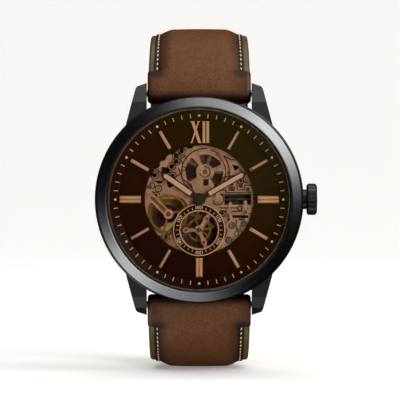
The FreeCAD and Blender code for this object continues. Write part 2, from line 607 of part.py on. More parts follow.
add("main_plate", plate.cut(relief))
screws = [screw_at(p, plate_top, -1, 0.5, 0.3, 0.2, 0.68) for p in front_screws]

bridge_disc = disc(move_r - 0.1, bridge_low, bridge_top)
split = 1.3
barrel_bridge = bridge_disc.common(block(-16, 16, split, 16, 0, 9))
barrel_bridge = barrel_bridge.cut([disc(0.5, 0, 9, barrel_at), prism([(-6.5, 1.0), (-16, 1.0), (-16, 2.4), (-7.5, 3.4)], 0, 9)])
add("barrel_bridge", barrel_bridge)
train_bridge = bridge_disc.common(prism([(-2.4, split - 0.15), (16, split - 0.15), (16, -16), (-3.2, -16), (-4.6, -8.6),
                                         (-3.9, -6.2), (-1.8, -3.4)], 0, 9))
train_bridge = train_bridge.cut([disc(0.5, 0, 9, crown_wheel_at), disc(0.2, bridge_low + 0.15, 9, centre),
                                 disc(0.18, bridge_low + 0.15, 9, third_at), disc(0.15, bridge_low + 0.15, 9, sec),
                                 disc(0.12, bridge_low + 0.15, 9, escape_at)])
add("train_bridge", train_bridge)
cock_end = polar(13.6, away(centre, balance_at) + 4)
cock = join([arm(balance_at, cock_end, 3.0, bridge_low, bridge_top), disc(1.9, bridge_low, bridge_top, balance_at)])
cock = cock.common(disc(move_r - 0.1, 0, 9)).cut(disc(0.16, bridge_low + 0.2, 9, balance_at))
cock = cock.cut(disc(0.1 + run, 0, 9, pallet_at))
pallet_foot = polar(3.2, lever_dir - 98, pallet_at)
pallet_bridge = join([arm(pallet_at, pallet_foot, 0.8, 6.4, 6.65), disc(0.4, 6.4, plate_low, pallet_foot)])
pallet_bridge = pallet_bridge.cut(disc(0.1, 6, 6.56, pallet_at))
add("escapement_bridges", cock, pallet_bridge)

# front bridges
tri = [disc(0.95, plate_top, plate_top + 0.3, sec)]
for tip, reach in ((third_at, 4.35), ((1.0, -9.0), 4.35), (escape_at, 3.2)):
    a = away(sec, tip)
    tri.append(arm(sec, polar(reach, a, sec), 0.75, plate_top, plate_top + 0.3))
    tri.append(disc(0.62, plate_top, plate_top + 0.3, tip))
tri = join(tri).cut([disc(0.15 + 0.05, 0, 10, sec), disc(0.35, 0, 10, third_at), disc(0.35, 0, 10, escape_at),
                     disc(0.35, 0, 10, (1.0, -9.0))])
jewels = []
for p, bore in ((third_at, 0.18), (escape_at, 0.12)):
    jewels.append(ring(0.35, bore, plate_top, plate_top + 0.3, p))
jewels.append(disc(0.35, plate_top, plate_top + 0.3, (1.0, -9.0)))
balance_foot = polar(6.1, 135, balance_at)
front_arm = []
for off in (-0.55, 0.55):
    p0 = polar(off, 45, balance_at)
    p1 = (balance_foot[0] + p0[0] - balance_at[0], balance_foot[1] + p0[1] - balance_at[1])
    front_arm.append(arm(p0, p1, 0.45, plate_top, plate_top + 0.25))
front_arm.append(disc(1.05, plate_top, plate_top + 0.25, balance_at))
front_arm.append(disc(0.95, plate_top, plate_top + 0.25, balance_foot))
front_arm = join(front_arm).cut([disc(0.5, 0, 10, balance_at)])
add("dial_side_bridges", tri, front_arm)
jewels.append(ring(0.5, 0.12, plate_top, plate_top + 0.25, balance_at))
add("front_jewels", *jewels)

# ---------------------------------------------------------------- motion works and hands
cannon_leaves, minute_teeth = 12, 36
minute_leaves, hour_teeth = 10, 40
setting_teeth = 30
cannon_pr = pitch(cannon_leaves, minute_teeth, centre, minute_wheel_at)
minute_pr = pitch(minute_teeth, cannon_leaves, centre, minute_wheel_at)
hour_pr = pitch(hour_teeth, minute_leaves, centre, minute_wheel_at)
minute_leaf_pr = pitch(minute_leaves, hour_teeth, centre, minute_wheel_at)
works_w = plate_top + 0.05
cannon = join([gear(cannon_leaves, cannon_pr, works_w, works_w + 0.2, centre, 0), disc(0.36, works_w, 9.9, centre)])
add("cannon_pinion", cannon.cut(disc(0.2, 0, 9.0, centre)))
minute_tooth = mesh_phase(cannon_leaves, 0, centre, minute_teeth, minute_wheel_at)
minute_wheel = join([gear(minute_teeth, minute_pr, works_w, works_w + 0.15, minute_wheel_at, minute_tooth),
                     gear(minute_leaves, minute_leaf_pr, works_w + 0.1, works_w + 0.45, minute_wheel_at, 180),
                     disc(0.2, plate_top - 0.6, works_w, minute_wheel_at)])
add("minute_wheel", minute_wheel)
hour_tooth = mesh_phase(minute_leaves, 180, minute_wheel_at, hour_teeth, centre)
hour_wheel = join([gear(hour_teeth, hour_pr, works_w + 0.25, works_w + 0.4, centre, hour_tooth),
                   disc(0.75, works_w + 0.3, 9.5, centre)])
add("hour_wheel", hour_wheel.cut(disc(0.52, 0, 12, centre)))
setting_pr = dist(minute_wheel_at, setting_at) - minute_pr
setting_tooth = mesh_phase(minute_teeth, minute_tooth, minute_wheel_at, setting_teeth, setting_at)
setting_low = stem_level + wind_r + 0.08
setting = gear(setting_teeth, setting_pr, setting_low, works_w + 0.15, setting_at, setting_tooth, 0.3)
add("setting_wheel", setting)
bridge_s = join([arm(setting_at, (3.99, 2.1), 0.9, works_w + 0.2, works_w + 0.45),
                 disc(0.28, setting_low, works_w + 0.3, setting_at), disc(0.45, plate_top, works_w + 0.3, (3.99, 2.1))])
pieces["dial_side_bridges"] += bridge_s.Solids


def hand(stem_w, body_w, r0, r1, tip, tip_w, w0, w1, hub_r, bore):
    outline = [(-stem_w / 2, 0), (-stem_w / 2, r0 - 0.35), (-body_w / 2, r0), (-body_w / 2, r1 - 0.3),
               (-tip_w / 2, r1 + 0.45), (-tip_w / 2 * 0.6, tip), (tip_w / 2 * 0.6, tip), (tip_w / 2, r1 + 0.45),
               (body_w / 2, r1 - 0.3), (body_w / 2, r0), (stem_w / 2, r0 - 0.35), (stem_w / 2, 0)]
    body = join([prism(outline, w0, w1), disc(hub_r, w0, w1)])
    return body.cut(disc(bore, w0 - 1, w1 + 1))


def hand_fill(width, r0, r1, w0, w1):
    return prism([(-width / 2, r0), (width / 2, r0), (width / 2, r1 - 0.3), (0, r1 + 0.1), (-width / 2, r1 - 0.3)], w0, w1)


hour_angle = 305.0
minute_angle = 60.0
seconds_angle = 287.0
hour_w, minute_w, second_w = 9.3, 9.65, 9.12
hour_fill = hand_fill(0.95, 2.1, 9.0, hour_w, hour_w + 0.2)
hour_hand = hand(0.9, 1.5, 1.85, 9.35, 11.35, 0.3, hour_w, hour_w + 0.2, 1.25, 0.75).cut(hour_fill)
add("hour_hand", turn(hour_hand, -hour_angle))
add("hour_hand_fill", turn(hour_fill, -hour_angle))
minute_fill = hand_fill(0.85, 2.4, 10.7, minute_w, minute_w + 0.2)
minute_hand = hand(0.85, 1.3, 2.1, 11.0, 12.9, 0.28, minute_w, minute_w + 0.2, 0.95, 0.36).cut(minute_fill)
add("minute_hand", turn(minute_hand, -minute_angle))
add("minute_hand_fill", turn(minute_fill, -minute_angle))
sec_body = prism([(-0.09, -1.4), (0.09, -1.4), (0.11, 0), (0.04, 3.6), (-0.04, 3.6), (-0.11, 0)], second_w, second_w + 0.12)
sec_hand = join([sec_body, disc(0.42, second_w, second_w + 0.12)]).cut(disc(0.15, 0, 12))
sec_hand.translate(V(sec[0], sec[1], 0))
add("seconds_hand", turn(sec_hand, -seconds_angle, sec))

# ---------------------------------------------------------------- crown, stem and keyless works
crown_x = case_r + 0.7
crown_r = crown_dia / 2
slide_x0, slide_x1 = 5.8, 7.3
wind_x0, wind_x1 = 7.35, 8.7
cr = [V(crown_x, 0, 0), V(crown_x, crown_r - 0.35, 0), V(crown_x + 0.35, crown_r, 0),
      V(crown_x + crown_thick - 0.45, crown_r, 0), V(crown_x + crown_thick - 0.1, crown_r - 0.45, 0),
      V(crown_x + crown_thick, 0, 0)]
crown = Part.Face(Part.makePolygon(cr + [cr[0]])).revolve(V(0, 0, 0), V(1, 0, 0), 360)
flutes = []
flute_count = 24
for i in range(flute_count):
    a = 2 * math.pi * i / flute_count
    c = Part.makeCylinder(0.24, crown_thick + 1, V(crown_x - 0.5, (crown_r + 0.1) * math.cos(a), (crown_r + 0.1) * math.sin(a)),
                          V(1, 0, 0))
    flutes.append(c)
crown = crown.cut(flutes)
crown.translate(V(0, 0, stem_level))
crown = crown.cut([rod(stem_r, crown_x - 1, crown_x + 1.4), rod(tube_flange_r + 0.15, crown_x - 1, crown_x + 0.0)])
add("winding_crown", crown)
tube = join([rod(tube_flange_r, case_r - 0.35, crown_x - 0.1), rod(tube_r, cavity_r + 0.1, case_r)])
tube = tube.cut(rod(tube_bore, cavity_r - 2, crown_x + 2))
add("crown_tube", tube)
gasket_x = case_r - 2.0
add("crown_gasket", rod(tube_bore, gasket_x, gasket_x + 0.8).cut(rod(stem_r, gasket_x - 1, gasket_x + 2)))
groove_x0, groove_x1 = 9.5, 10.0
stem = rod(stem_r, 3.9, crown_x + 1.4)
stem = stem.cut(rod(1.0, groove_x0, groove_x1).cut(rod(0.28, groove_x0 - 1, groove_x1 + 1)))
add("winding_stem", stem)


def axial_gear(teeth, pitch_r, x0, x1, bore, tooth_at=0.0):
    g = gear(teeth, pitch_r, 0, x1 - x0, (0, 0), tooth_at, bore)
    g.rotate(V(0, 0, 0), V(0, 1, 0), 90)
    g.translate(V(x0, 0, stem_level))
    return g


wind = axial_gear(wind_teeth, wind_r - 0.1, wind_x0, wind_x1, stem_r + 0.02)
add("winding_pinion", wind)
slide = join([axial_gear(wind_teeth, wind_r - 0.1, slide_x0, slide_x0 + 0.5, stem_r + 0.02),
              rod(0.55, slide_x0 + 0.4, slide_x1 - 0.5).cut(rod(stem_r + 0.02, slide_x0, slide_x1)),
              axial_gear(wind_teeth, wind_r - 0.1, slide_x1 - 0.55, slide_x1, stem_r + 0.02)])
add("sliding_pinion", slide)

lever_w = plate_top + 0.03
set_pivot = (9.75, -2.7)
set_tip = (9.75, -0.6)
setting_lever = join([arm(set_pivot, set_tip, 0.75, lever_w, lever_w + 0.2),
                      disc(0.16, stem_level, lever_w + 0.1, (9.75, -0.5)).cut(rod(0.3, 9, 11)),
                      disc(0.65, lever_w, lever_w + 0.2, set_pivot)])
setting_lever = setting_lever.cut(disc(0.25, 0, 10, set_pivot))
add("setting_lever", setting_lever)
yoke_pivot = (6.0, -3.4)
yoke_tip = (6.55, -0.85)
yoke = join([arm(yoke_pivot, yoke_tip, 0.6, lever_w, lever_w + 0.2),
             disc(0.15, stem_level + 0.1, lever_w + 0.1, (6.55, -0.75)),
             disc(0.55, lever_w, lever_w + 0.2, yoke_pivot)])
add("yoke", yoke.cut(disc(0.25, 0, 10, yoke_pivot)))
pivots = []
for p in (set_pivot, yoke_pivot):
    pivots.append(disc(0.25, plate_top - 0.7, lever_w + 0.2, p))
    pivots[-1] = join([pivots[-1], disc(0.42, lever_w + 0.22, lever_w + 0.34, p), disc(0.25, lever_w + 0.1, lever_w + 0.3, p)])
pieces["main_plate"] = [pieces["main_plate"][0].cut([disc(0.25, plate_top - 0.7, 9, set_pivot),
                                                     disc(0.25, plate_top - 0.7, 9, yoke_pivot)])]
screws += pivots
spring_pts = [(11.2, -1.6), (11.45, -1.6), (11.45, -5.2), (10.4, -6.2), (10.2, -6.0), (11.2, -5.05)]
lever_spring = prism(spring_pts, lever_w, lever_w + 0.15)

# ---------------------------------------------------------------- winding click
click_pivot = (-4.9, 9.6)
tip = polar(ratchet_pr + 0.25, 155, barrel_at)
click = join([arm(click_pivot, tip, 0.7, ratchet_w0, ratchet_w1), disc(0.75, ratchet_w0, ratchet_w1, click_pivot)])
click = click.cut([disc(0.3, 0, 9, click_pivot), disc(ratchet_pr + 0.22, 0, 9, barrel_at)])
add("click", click)
click_screw = screw_at(click_pivot, ratchet_w0 - 0.02, 1, 0.6, 0.28, 0.15, 1.0)
screws.append(click_screw)
add("movement_springs", lever_spring, spiral(5.9, 5.9, 0.12, 0.12, ratchet_w0, ratchet_w1, barrel_at, 158).cut(
    disc(0.8, 0, 9, click_pivot)))
pieces["barrel_bridge"] = [pieces["barrel_bridge"][0].cut(disc(0.28, 0, 9, click_pivot))]

# ---------------------------------------------------------------- automatic winding
auto_w0, auto_w1 = 2.95, 3.25
auto_feet = [(-8.2, 6.0), (-3.6, -9.5), (7.6, -6.6)]
auto = [disc(2.4, auto_w0, auto_w1)]
for p in auto_feet:
    auto.append(arm(centre, p, 2.0, auto_w0, auto_w1))
    auto.append(disc(1.1, auto_w0, bridge_low, p))
auto.append(disc(1.5, auto_w0, auto_w1, reverser_at))
auto = join(auto)
post_r = 0.8
auto = join([auto, disc(post_r, 1.45, auto_w0 + 0.1)])
auto = auto.cut([disc(0.25, 0, 9, reverser_at)])
add("automatic_bridge", auto)
auto_screws = [screw_at(p, auto_w0, 1, 0.7, 0.35, 0.2, 1.4) for p in auto_feet]
drill = [disc(0.35, auto_w0 - 1, auto_w0 + 1.4, p) for p in auto_feet]
pieces["automatic_bridge"] = [pieces["automatic_bridge"][0].cut(drill)]
for name in ("barrel_bridge", "train_bridge"):
    pieces[name] = [pieces[name][0].cut(drill)]
screws += auto_screws

rotor_r = 14.2
rotor_pinion_teeth, reverser_teeth, reverser_leaves = 30, 36, 13
rotor_pr = pitch(rotor_pinion_teeth, reverser_teeth, centre, reverser_at)
reverser_pr = pitch(reverser_teeth, rotor_pinion_teeth, centre, reverser_at)
weight_w0, weight_w1 = 1.35, 2.35
web = disc(rotor_r - 1.5, 1.75, 2.2).common(block(-20, 20, -20, 0, 0, 9))
windows = []
for a in (-160, -122, -84, -46):
    windows.append(arc_slot(8.0, 5.2, a + 0, a + 26, 0, 5, centre))
web = web.cut(windows)
rim = ring(rotor_r, rotor_r - 2.6, weight_w0, weight_w1).common(block(-20, 20, -20, 0.6, 0, 9))
rotor_tooth = away(centre, reverser_at)
rotor = join([web, disc(3.0, 1.75, 2.35), gear(rotor_pinion_teeth, rotor_pr, 2.35, 2.85, centre, rotor_tooth)])
rotor = rotor.cut(disc(1.25, 0, 9))
add("rotor", rotor.cut(ring(rotor_r + 1, rotor_r - 2.6, 0, 9)), rim)
pieces["automatic_bridge"] += ring(1.25, post_r, 1.55, 2.35).Solids
cap = join([disc(1.1, 1.25, 1.45), disc(0.4, 1.3, 2.6)]).cut(block(-1.2, 1.2, -0.1, 0.1, 1.2, 1.32))
screws.append(cap)
pieces["automatic_bridge"][0] = pieces["automatic_bridge"][0].cut(disc(0.4, 1.3, 2.6))

reverser_tooth = mesh_phase(rotor_pinion_teeth, rotor_tooth, centre, reverser_teeth, reverser_at)
rev = join([spoked(reverser_teeth, reverser_pr, 2.5, 2.75, reverser_at, reverser_tooth, 0.7, 5, 0.35, 0.3),
            disc(0.25, 2.45, 3.25, reverser_at)])
add("reverser_wheel", rev)
rev_leaf_pr = dist(reverser_at, barrel_at) - ratchet_pr
rev_phase = mesh_phase(ratchet_teeth, ratchet_tooth, barrel_at, reverser_leaves, reverser_at)
rev_pinion = join([gear(reverser_leaves, rev_leaf_pr, ratchet_w0, ratchet_w1, reverser_at, rev_phase),
                   disc(0.25, ratchet_w0, bridge_low + 0.5, reverser_at)])
add("reverser_pinion", rev_pinion)
pieces["barrel_bridge"] = [pieces["barrel_bridge"][0].cut(disc(0.25, 0, 9, reverser_at))]

bridge_screw_at = [polar(13.4, a) for a in (25, 62, 128, 160)] + [polar(13.4, a) for a in (-12, -50, -88)]
bridge_screw_at.append(cock_end)
holes_b = [disc(0.35, bridge_low - 1, bridge_low + 1.8, p) for p in bridge_screw_at]
for name in ("barrel_bridge", "train_bridge", "escapement_bridges", "main_plate"):
    pieces[name][0] = pieces[name][0].cut(holes_b)
screws += [screw_at(p, bridge_low, 1, 0.65, 0.35, 0.22, 1.7) for p in bridge_screw_at]
add("movement_screws", *screws)

ring_body = ring(cavity_r - 0.1, move_r, 3.0, dial_level)
add("movement_ring", ring_body.cut(rod(0.75, move_r - 1, cavity_r + 1)))

# ---------------------------------------------------------------- strap
lead_angle = -20.0
near_r = 18.2
far_r12 = 34.4
far_r6 = 30.0
half_turn = math.radians(90 + lead_angle)
near_len = near_r * half_turn
a0 = math.radians(lead_angle)
near_c = (bar_y + near_r * math.sin(a0), bar_w - near_r * math.cos(a0))
crest_y = near_c[0] + near_r
step_at = 4.6
step_narrow = 0.4
strap12_len = 72.0
strap6_len = 105.0


def path(s, far_r):
    # point and heading on the strap's middle line, in the plane of Y and height
    if s <= near_len:
        h = a0 - s / near_r
        return (near_c[0] - near_r * math.sin(h), near_c[1] + near_r * math.cos(h), h)
    h = -math.pi / 2 - (s - near_len) / far_r
    c = (crest_y - far_r, near_c[1])
    return (c[0] - far_r * math.sin(h), c[1] + far_r * math.cos(h), h)


def band(s0, s1, far_r, lo, hi, wide, count):
    # curved strap layer between two offsets from the middle line
    wires = []
    for i in range(count + 1):
        s = s0 + (s1 - s0) * i / count
        y, w, h = path(s, far_r)
        n = (-math.sin(h), math.cos(h))
        half = wide(s) / 2
        a, b = lo(s), hi(s)
        q = [V(-half, y + n[0] * a, w + n[1] * a), V(half, y + n[0] * a, w + n[1] * a),
             V(half, y + n[0] * b, w + n[1] * b), V(-half, y + n[0] * b, w + n[1] * b)]
        q.append(q[0])
        wires.append(Part.makePolygon(q))
    return Part.makeLoft(wires, True, False)


def strap_wide(s, length, end_width):
    # the strap narrows evenly from its wide end to its buckle end
    t = max(0.0, s - step_at) / (length - step_at)
    return strap_width - step_narrow + (end_width - strap_width + step_narrow) * t


def strap_half(far_r, length, end_thick, end_width):
    def thick(s):
        return strap_thick + (end_thick - strap_thick) * max(0.0, s - 12.0) / (length - 12.0)

    def wide_main(s):
        return strap_wide(s, length, end_width)

    def wide_end(s):
        return strap_width

    def low(s):
        return -thick(s) / 2

    def mid_line(s):
        return -thick(s) / 2 + lining_thick

    def top(s):
        return thick(s) / 2

    eye = Part.makeCylinder(strap_thick / 2, strap_width, V(-strap_width / 2, bar_y, bar_w), V(1, 0, 0))
    hole = Part.makeCylinder(bar_r, strap_width + 2, V(-strap_width / 2 - 1, bar_y, bar_w), V(1, 0, 0))
    top_end = band(0.0, step_at, far_r, low, top, wide_end, 3)
    top_main = band(step_at, length, far_r, mid_line, top, wide_main, 14)
    leather = join([eye, top_end, top_main]).cut(hole)
    lining = band(step_at, length, far_r, low, mid_line, wide_main, 14)
    return leather, lining


def flipped(shape):
    return shape.mirror(V(0, 0, 0), V(0, 1, 0))


leather12, lining12 = strap_half(far_r12, strap12_len, 3.2, strap_buckle_width)
leather6, lining6 = strap_half(far_r6, strap6_len, strap_tail_thick, strap_buckle_width - 0.4)
leather6 = flipped(leather6)
lining6 = flipped(lining6)

bars = []
for s in (1, -1):
    body = Part.makeCylinder(bar_r, lug_gap - 0.1, V(-lug_in + 0.05, s * bar_y, bar_w), V(1, 0, 0))
    pins = Part.makeCylinder(pin_r, lug_gap + 2 * pin_depth - 0.1, V(-lug_in - pin_depth + 0.05, s * bar_y, bar_w), V(1, 0, 0))
    bars.append(join([body, pins]))
add("spring_bars", *bars)


# ---------------------------------------------------------------- buckle
def stand_on(shape, s, far_r):
    # shape built with X across, Y along the strap, Z outwards, moved to length s along the strap
    y, w, h = path(s, far_r)
    out = shape.copy()
    out.rotate(V(0, 0, 0), V(1, 0, 0), math.degrees(h))
    out.translate(V(0, y, w))
    return out


def xrod(r, x0, x1, u, n):
    return Part.makeCylinder(r, x1 - x0, V(x0, u, n), V(1, 0, 0))


buckle_in = strap_buckle_width + 0.5
buckle_half = buckle_in / 2 + 1.6
buckle_long = 10.5
buckle_bar_r = 0.6
pivot_s = strap12_len + 0.6
frame_high = 2.0
arms = []
for s in (1, -1):
    x0, x1 = sorted((s * buckle_in / 2, s * buckle_half))
    arms.append(block(x0, x1, -1.3, buckle_long, -frame_high / 2, frame_high / 2))
arms.append(block(-buckle_half, buckle_half, buckle_long - 2.4, buckle_long, -frame_high / 2, frame_high / 2 - 0.2))
buckle = join(arms)
side_edges = []
for e in buckle.Edges:
    if e.Length > 5 and abs(e.CenterOfMass.x) > buckle_half - 0.1:
        side_edges.append(e)
buckle = buckle.makeChamfer(0.35, side_edges)
buckle = buckle.cut([xrod(buckle_bar_r - 0.2, -buckle_in / 2 - 0.8, buckle_in / 2 + 0.8, 0, 0),
                     block(-1.1, 1.1, buckle_long - 2.6, buckle_long + 1, frame_high / 2 - 0.55, frame_high)])
bar = join([xrod(buckle_bar_r, -buckle_in / 2 + 0.05, buckle_in / 2 - 0.05, 0, 0),
            xrod(buckle_bar_r - 0.2, -buckle_in / 2 - 0.75, buckle_in / 2 + 0.75, 0, 0)])
add("buckle_frame", stand_on(buckle, pivot_s, far_r12), stand_on(bar, pivot_s, far_r12))
tongue = join([xrod(1.1, -0.9, 0.9, 0, 0), block(-0.9, 0.9, 0, buckle_long - 0.6, 0.5, 1.1),
               block(-0.9, 0.9, buckle_long - 2.0, buckle_long - 0.4, 0.5, 1.1)])
tongue = tongue.cut([xrod(buckle_bar_r, -2, 2, 0, 0)])
add("buckle_tongue", stand_on(tongue, pivot_s, far_r12))
# the strap end is wrapped round the buckle bar, with a slot for the tongue
wrap = xrod(1.6, -strap_buckle_width / 2 + 0.02, strap_buckle_width / 2 - 0.02, 0, 0)
wrap = stand_on(wrap, pivot_s, far_r12)
tongue_slot = stand_on(block(-1.25, 1.25, -2.6, 3.0, -3, 3), pivot_s, far_r12)
bar_hole = stand_on(xrod(buckle_bar_r, -20, 20, 0, 0), pivot_s, far_r12)
leather12 = join([leather12, wrap]).cut([lining12, tongue_slot, bar_hole])
add("strap_upper", leather12, lining12.cut([tongue_slot, bar_hole]))
add("strap_lower", leather6, lining6)

# keepers
keeper_wall = 1.2


def keeper(s, long, clearance, travel):
    # wide enough for the strap at the keeper's highest place
    half_w = strap_wide(s - long / 2 - travel, strap12_len, strap_buckle_width) / 2 + clearance
    t = 3.2 + (strap_thick - 3.2) * (strap12_len - s) / strap12_len
    lo = -t / 2 - clearance
    hi = t / 2 + strap_tail_thick + 0.3
    outer = block(-half_w - keeper_wall, half_w + keeper_wall, -long / 2, long / 2, lo - keeper_wall, hi + keeper_wall)
    edges = [e for e in outer.Edges if abs(e.Length - long) < 0.01]
    outer = outer.makeFillet(0.9, edges)
    inner = block(-half_w, half_w, -long, long, lo, hi)
    return stand_on(outer.cut(inner), s, far_r12)


add("fixed_keeper", keeper(64.5, 5.0, 0.15, 0.0))
add("free_keeper", keeper(55.5, 6.0, 0.3, 3.0))

# ---------------------------------------------------------------- stand upright and write out
for name, solids in pieces.items():
    out = []
    for s in solids:
        t = s.copy()
        t.rotate(V(0, 0, 0), V(1, 0, 0), 90)
        out.append(t)
    shape = out[0] if len(out) == 1 else Part.makeCompound(out)
    shape.exportStep("parts/" + name + ".step")
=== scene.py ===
import bpy
import bmesh
import math
from mathutils import Matrix, Vector


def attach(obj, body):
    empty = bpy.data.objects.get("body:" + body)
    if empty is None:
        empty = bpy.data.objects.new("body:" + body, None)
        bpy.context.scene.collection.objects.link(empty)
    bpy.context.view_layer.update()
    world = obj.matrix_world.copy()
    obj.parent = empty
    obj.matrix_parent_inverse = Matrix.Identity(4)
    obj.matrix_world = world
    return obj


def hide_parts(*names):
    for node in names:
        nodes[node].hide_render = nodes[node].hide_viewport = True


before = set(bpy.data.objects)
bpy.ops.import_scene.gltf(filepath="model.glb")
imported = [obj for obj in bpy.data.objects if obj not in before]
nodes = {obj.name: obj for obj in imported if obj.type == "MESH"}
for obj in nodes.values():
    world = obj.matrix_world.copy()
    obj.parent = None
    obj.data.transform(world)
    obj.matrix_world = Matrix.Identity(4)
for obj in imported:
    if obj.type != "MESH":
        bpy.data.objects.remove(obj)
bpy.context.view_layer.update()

# ------------------------------------------------------------------ sizes, in millimetres
MM = 0.001
BAR_Y = 22.4          # spring bar, from the dial centre
BAR_W = 3.0           # and above the rear cover
LEAD = math.radians(-20.0)
NEAR_R = 18.2
FAR_R_UPPER = 34.4
FAR_R_LOWER = 30.0
UPPER_LEN = 72.0
LOWER_LEN = 105.0
STRAP_W = 22.0
BUCKLE_W = 18.0
STRAP_T = 4.4
STEP_AT = 4.2
STEP_NARROW = 0.4
DIAL_TOP = 8.7
SECONDS = (0.0, -6.42)
PLATE_TOP = 8.0
EDGE_BAND = 1.15      # olive edge showing beside the top leather
STITCH_IN = 1.85      # stitch line, in from the edge
CROWN_OUT = 2.15      # foot of the padded crown, in from the edge
CROWN_IN = 4.9        # where the crown reaches its full height
ROLL_START = -7.6     # length along the roll round the spring bar where the top leather begins
TAIL_ROUND = 9.0      # length over which the tail is rounded off
HOLE_R = 0.85
HOLE_COUNT = 7
HOLE_PITCH = 6.4
HOLE_FIRST = 21.0     # nearest hole, from the end of the tail
UPPER_END_T = 3.2
TAIL_T = 2.8
KEEPER_WALL = 0.95
ROLL_OUT = 1.55       # roll of leather round the buckle bar
ROLL_IN = 0.68
TONGUE_GAP = 1.4
TRACK_R = 17.45
TRACK_PITCH = 0.42
SECONDS_R = 4.75
FLOOR_Z = -0.03668


def at(x, y, w):
    """Plan position on the watch and height above its back, in the row frame."""
    return Vector((x * MM, -w * MM, y * MM))


# ------------------------------------------------------------------ strap path
near_len = NEAR_R * math.radians(90) + NEAR_R * LEAD
near_centre = (BAR_Y + NEAR_R * math.sin(LEAD), BAR_W - NEAR_R * math.cos(LEAD))
crest = near_centre[0] + NEAR_R


def strap_point(s, n, far_r):
    """Point s along the strap's middle line and n outwards from it: (y, w)."""
    if s < 0:
        h = LEAD - s / (STRAP_T / 2)
        return BAR_Y - n * math.sin(h), BAR_W + n * math.cos(h)
    if s <= near_len:
        h = LEAD - s / NEAR_R
        y, w = near_centre[0] - NEAR_R * math.sin(h), near_centre[1] + NEAR_R * math.cos(h)
    else:
        h = -math.pi / 2 - (s - near_len) / far_r
        y, w = crest - far_r - far_r * math.sin(h), near_centre[1] + far_r * math.cos(h)
    return y - n * math.sin(h), w + n * math.cos(h)


def bend(bm, far_r, side):
    """Curves a flat-made strap piece (X across, Y along, Z outwards, all in mm) round the wrist."""
    for v in bm.verts:
        y, w = strap_point(v.co.y, v.co.z, far_r)
        v.co = at(v.co.x, side * y, w)


# ------------------------------------------------------------------ mesh helpers
def smooth_step(t):
    t = max(0.0, min(1.0, t))
    return t * t * (3 - 2 * t)


def finish_mesh(bm, name, material, body, smooth=True, replaces=()):
    bmesh.ops.recalc_face_normals(bm, faces=bm.faces)
    for f in bm.faces:
        f.smooth = smooth
    mesh = bpy.data.meshes.new(name)
    bm.to_mesh(mesh)
    bm.free()
    obj = bpy.data.objects.new(name, mesh)
    bpy.context.scene.collection.objects.link(obj)
    mesh.materials.append(material)
    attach(obj, body)
    if replaces:
        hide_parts(*replaces)
    return obj


def loft(bm, sections):
    """Closed skin through a row of closed outlines, all with the same number of points."""
    across, along = len(sections[0]), len(sections) - 1
    made = bmesh.ops.create_grid(bm, x_segments=across, y_segments=along, size=1)["verts"]
    for v in made:
        i = round((v.co.x + 1) / 2 * across) % across
        j = round((v.co.y + 1) / 2 * along)
        v.co = Vector(sections[j][i])
    bmesh.ops.remove_doubles(bm, verts=made, dist=1e-5)
    edges = [e for e in bm.edges if e.is_boundary]
    bmesh.ops.holes_fill(bm, edges=edges)
    return bm


def closed_ring(bm, outlines):
    """Skin through a row of closed outlines whose last one meets the first again."""
    loft(bm, outlines + outlines[:1])


def merge(into, part):
    """Adds one mesh under construction to another."""
    mesh = bpy.data.meshes.new("part")
    part.to_mesh(mesh)
    part.free()
    into.from_mesh(mesh)
    bpy.data.meshes.remove(mesh)


def corners(half, lo, hi, r, steps):
    """Places and outward directions round a rectangle with rounded corners, from its upper right-hand one."""
    out = []
    for cx, cz, start in ((half - r, hi - r, 90), (half - r, lo + r, 0),
                          (-half + r, lo + r, -90), (-half + r, hi - r, 180)):
        for k in range(steps + 1):
            a = math.radians(start - 90 * k / steps)
            out.append((cx + r * math.cos(a), cz + r * math.sin(a), math.cos(a), math.sin(a)))
    return out


def stitch(bm, x, s, z, size, lean=0.0):
    """One stitch of thread, an oval lying on the leather."""
    made = bmesh.ops.create_uvsphere(bm, u_segments=8, v_segments=6, radius=1)["verts"]
    bmesh.ops.scale(bm, vec=size, verts=made)
    bmesh.ops.rotate(bm, matrix=Matrix.Rotation(math.radians(lean), 3, "Z"), verts=made)
    bmesh.ops.translate(bm, vec=(x, s, z), verts=made)


def add_box(bm, size, place):
    """Box of a given size put in place by a matrix."""
    made = bmesh.ops.create_cube(bm, size=1)["verts"]
    bmesh.ops.scale(bm, vec=size, verts=made)
    bmesh.ops.transform(bm, matrix=place, verts=made)
    return made


def clock(deg, r, centre=(0.0, 0.0), w=0.0):
    """Matrix that stands a flat piece on the dial at a clock angle: X tangential, Y outwards, Z to the eye."""
    a = math.radians(deg)
    out = Vector((math.sin(a), 0, math.cos(a)))
    tan = Vector((math.cos(a), 0, -math.sin(a)))
    m = Matrix((tan, out, Vector((0, -1, 0)))).transposed().to_4x4()
    m.translation = at(centre[0], centre[1], w) + out * r * MM
    return m


# ------------------------------------------------------------------ materials
def linear(code):
    """sRGB hex colour to linear RGBA."""
    out = []
    for i in (0, 2, 4):
        c = int(code[i:i + 2], 16) / 255
        out.append(c / 12.92 if c <= 0.04045 else ((c + 0.055) / 1.055) ** 2.4)
    return (*out, 1.0)


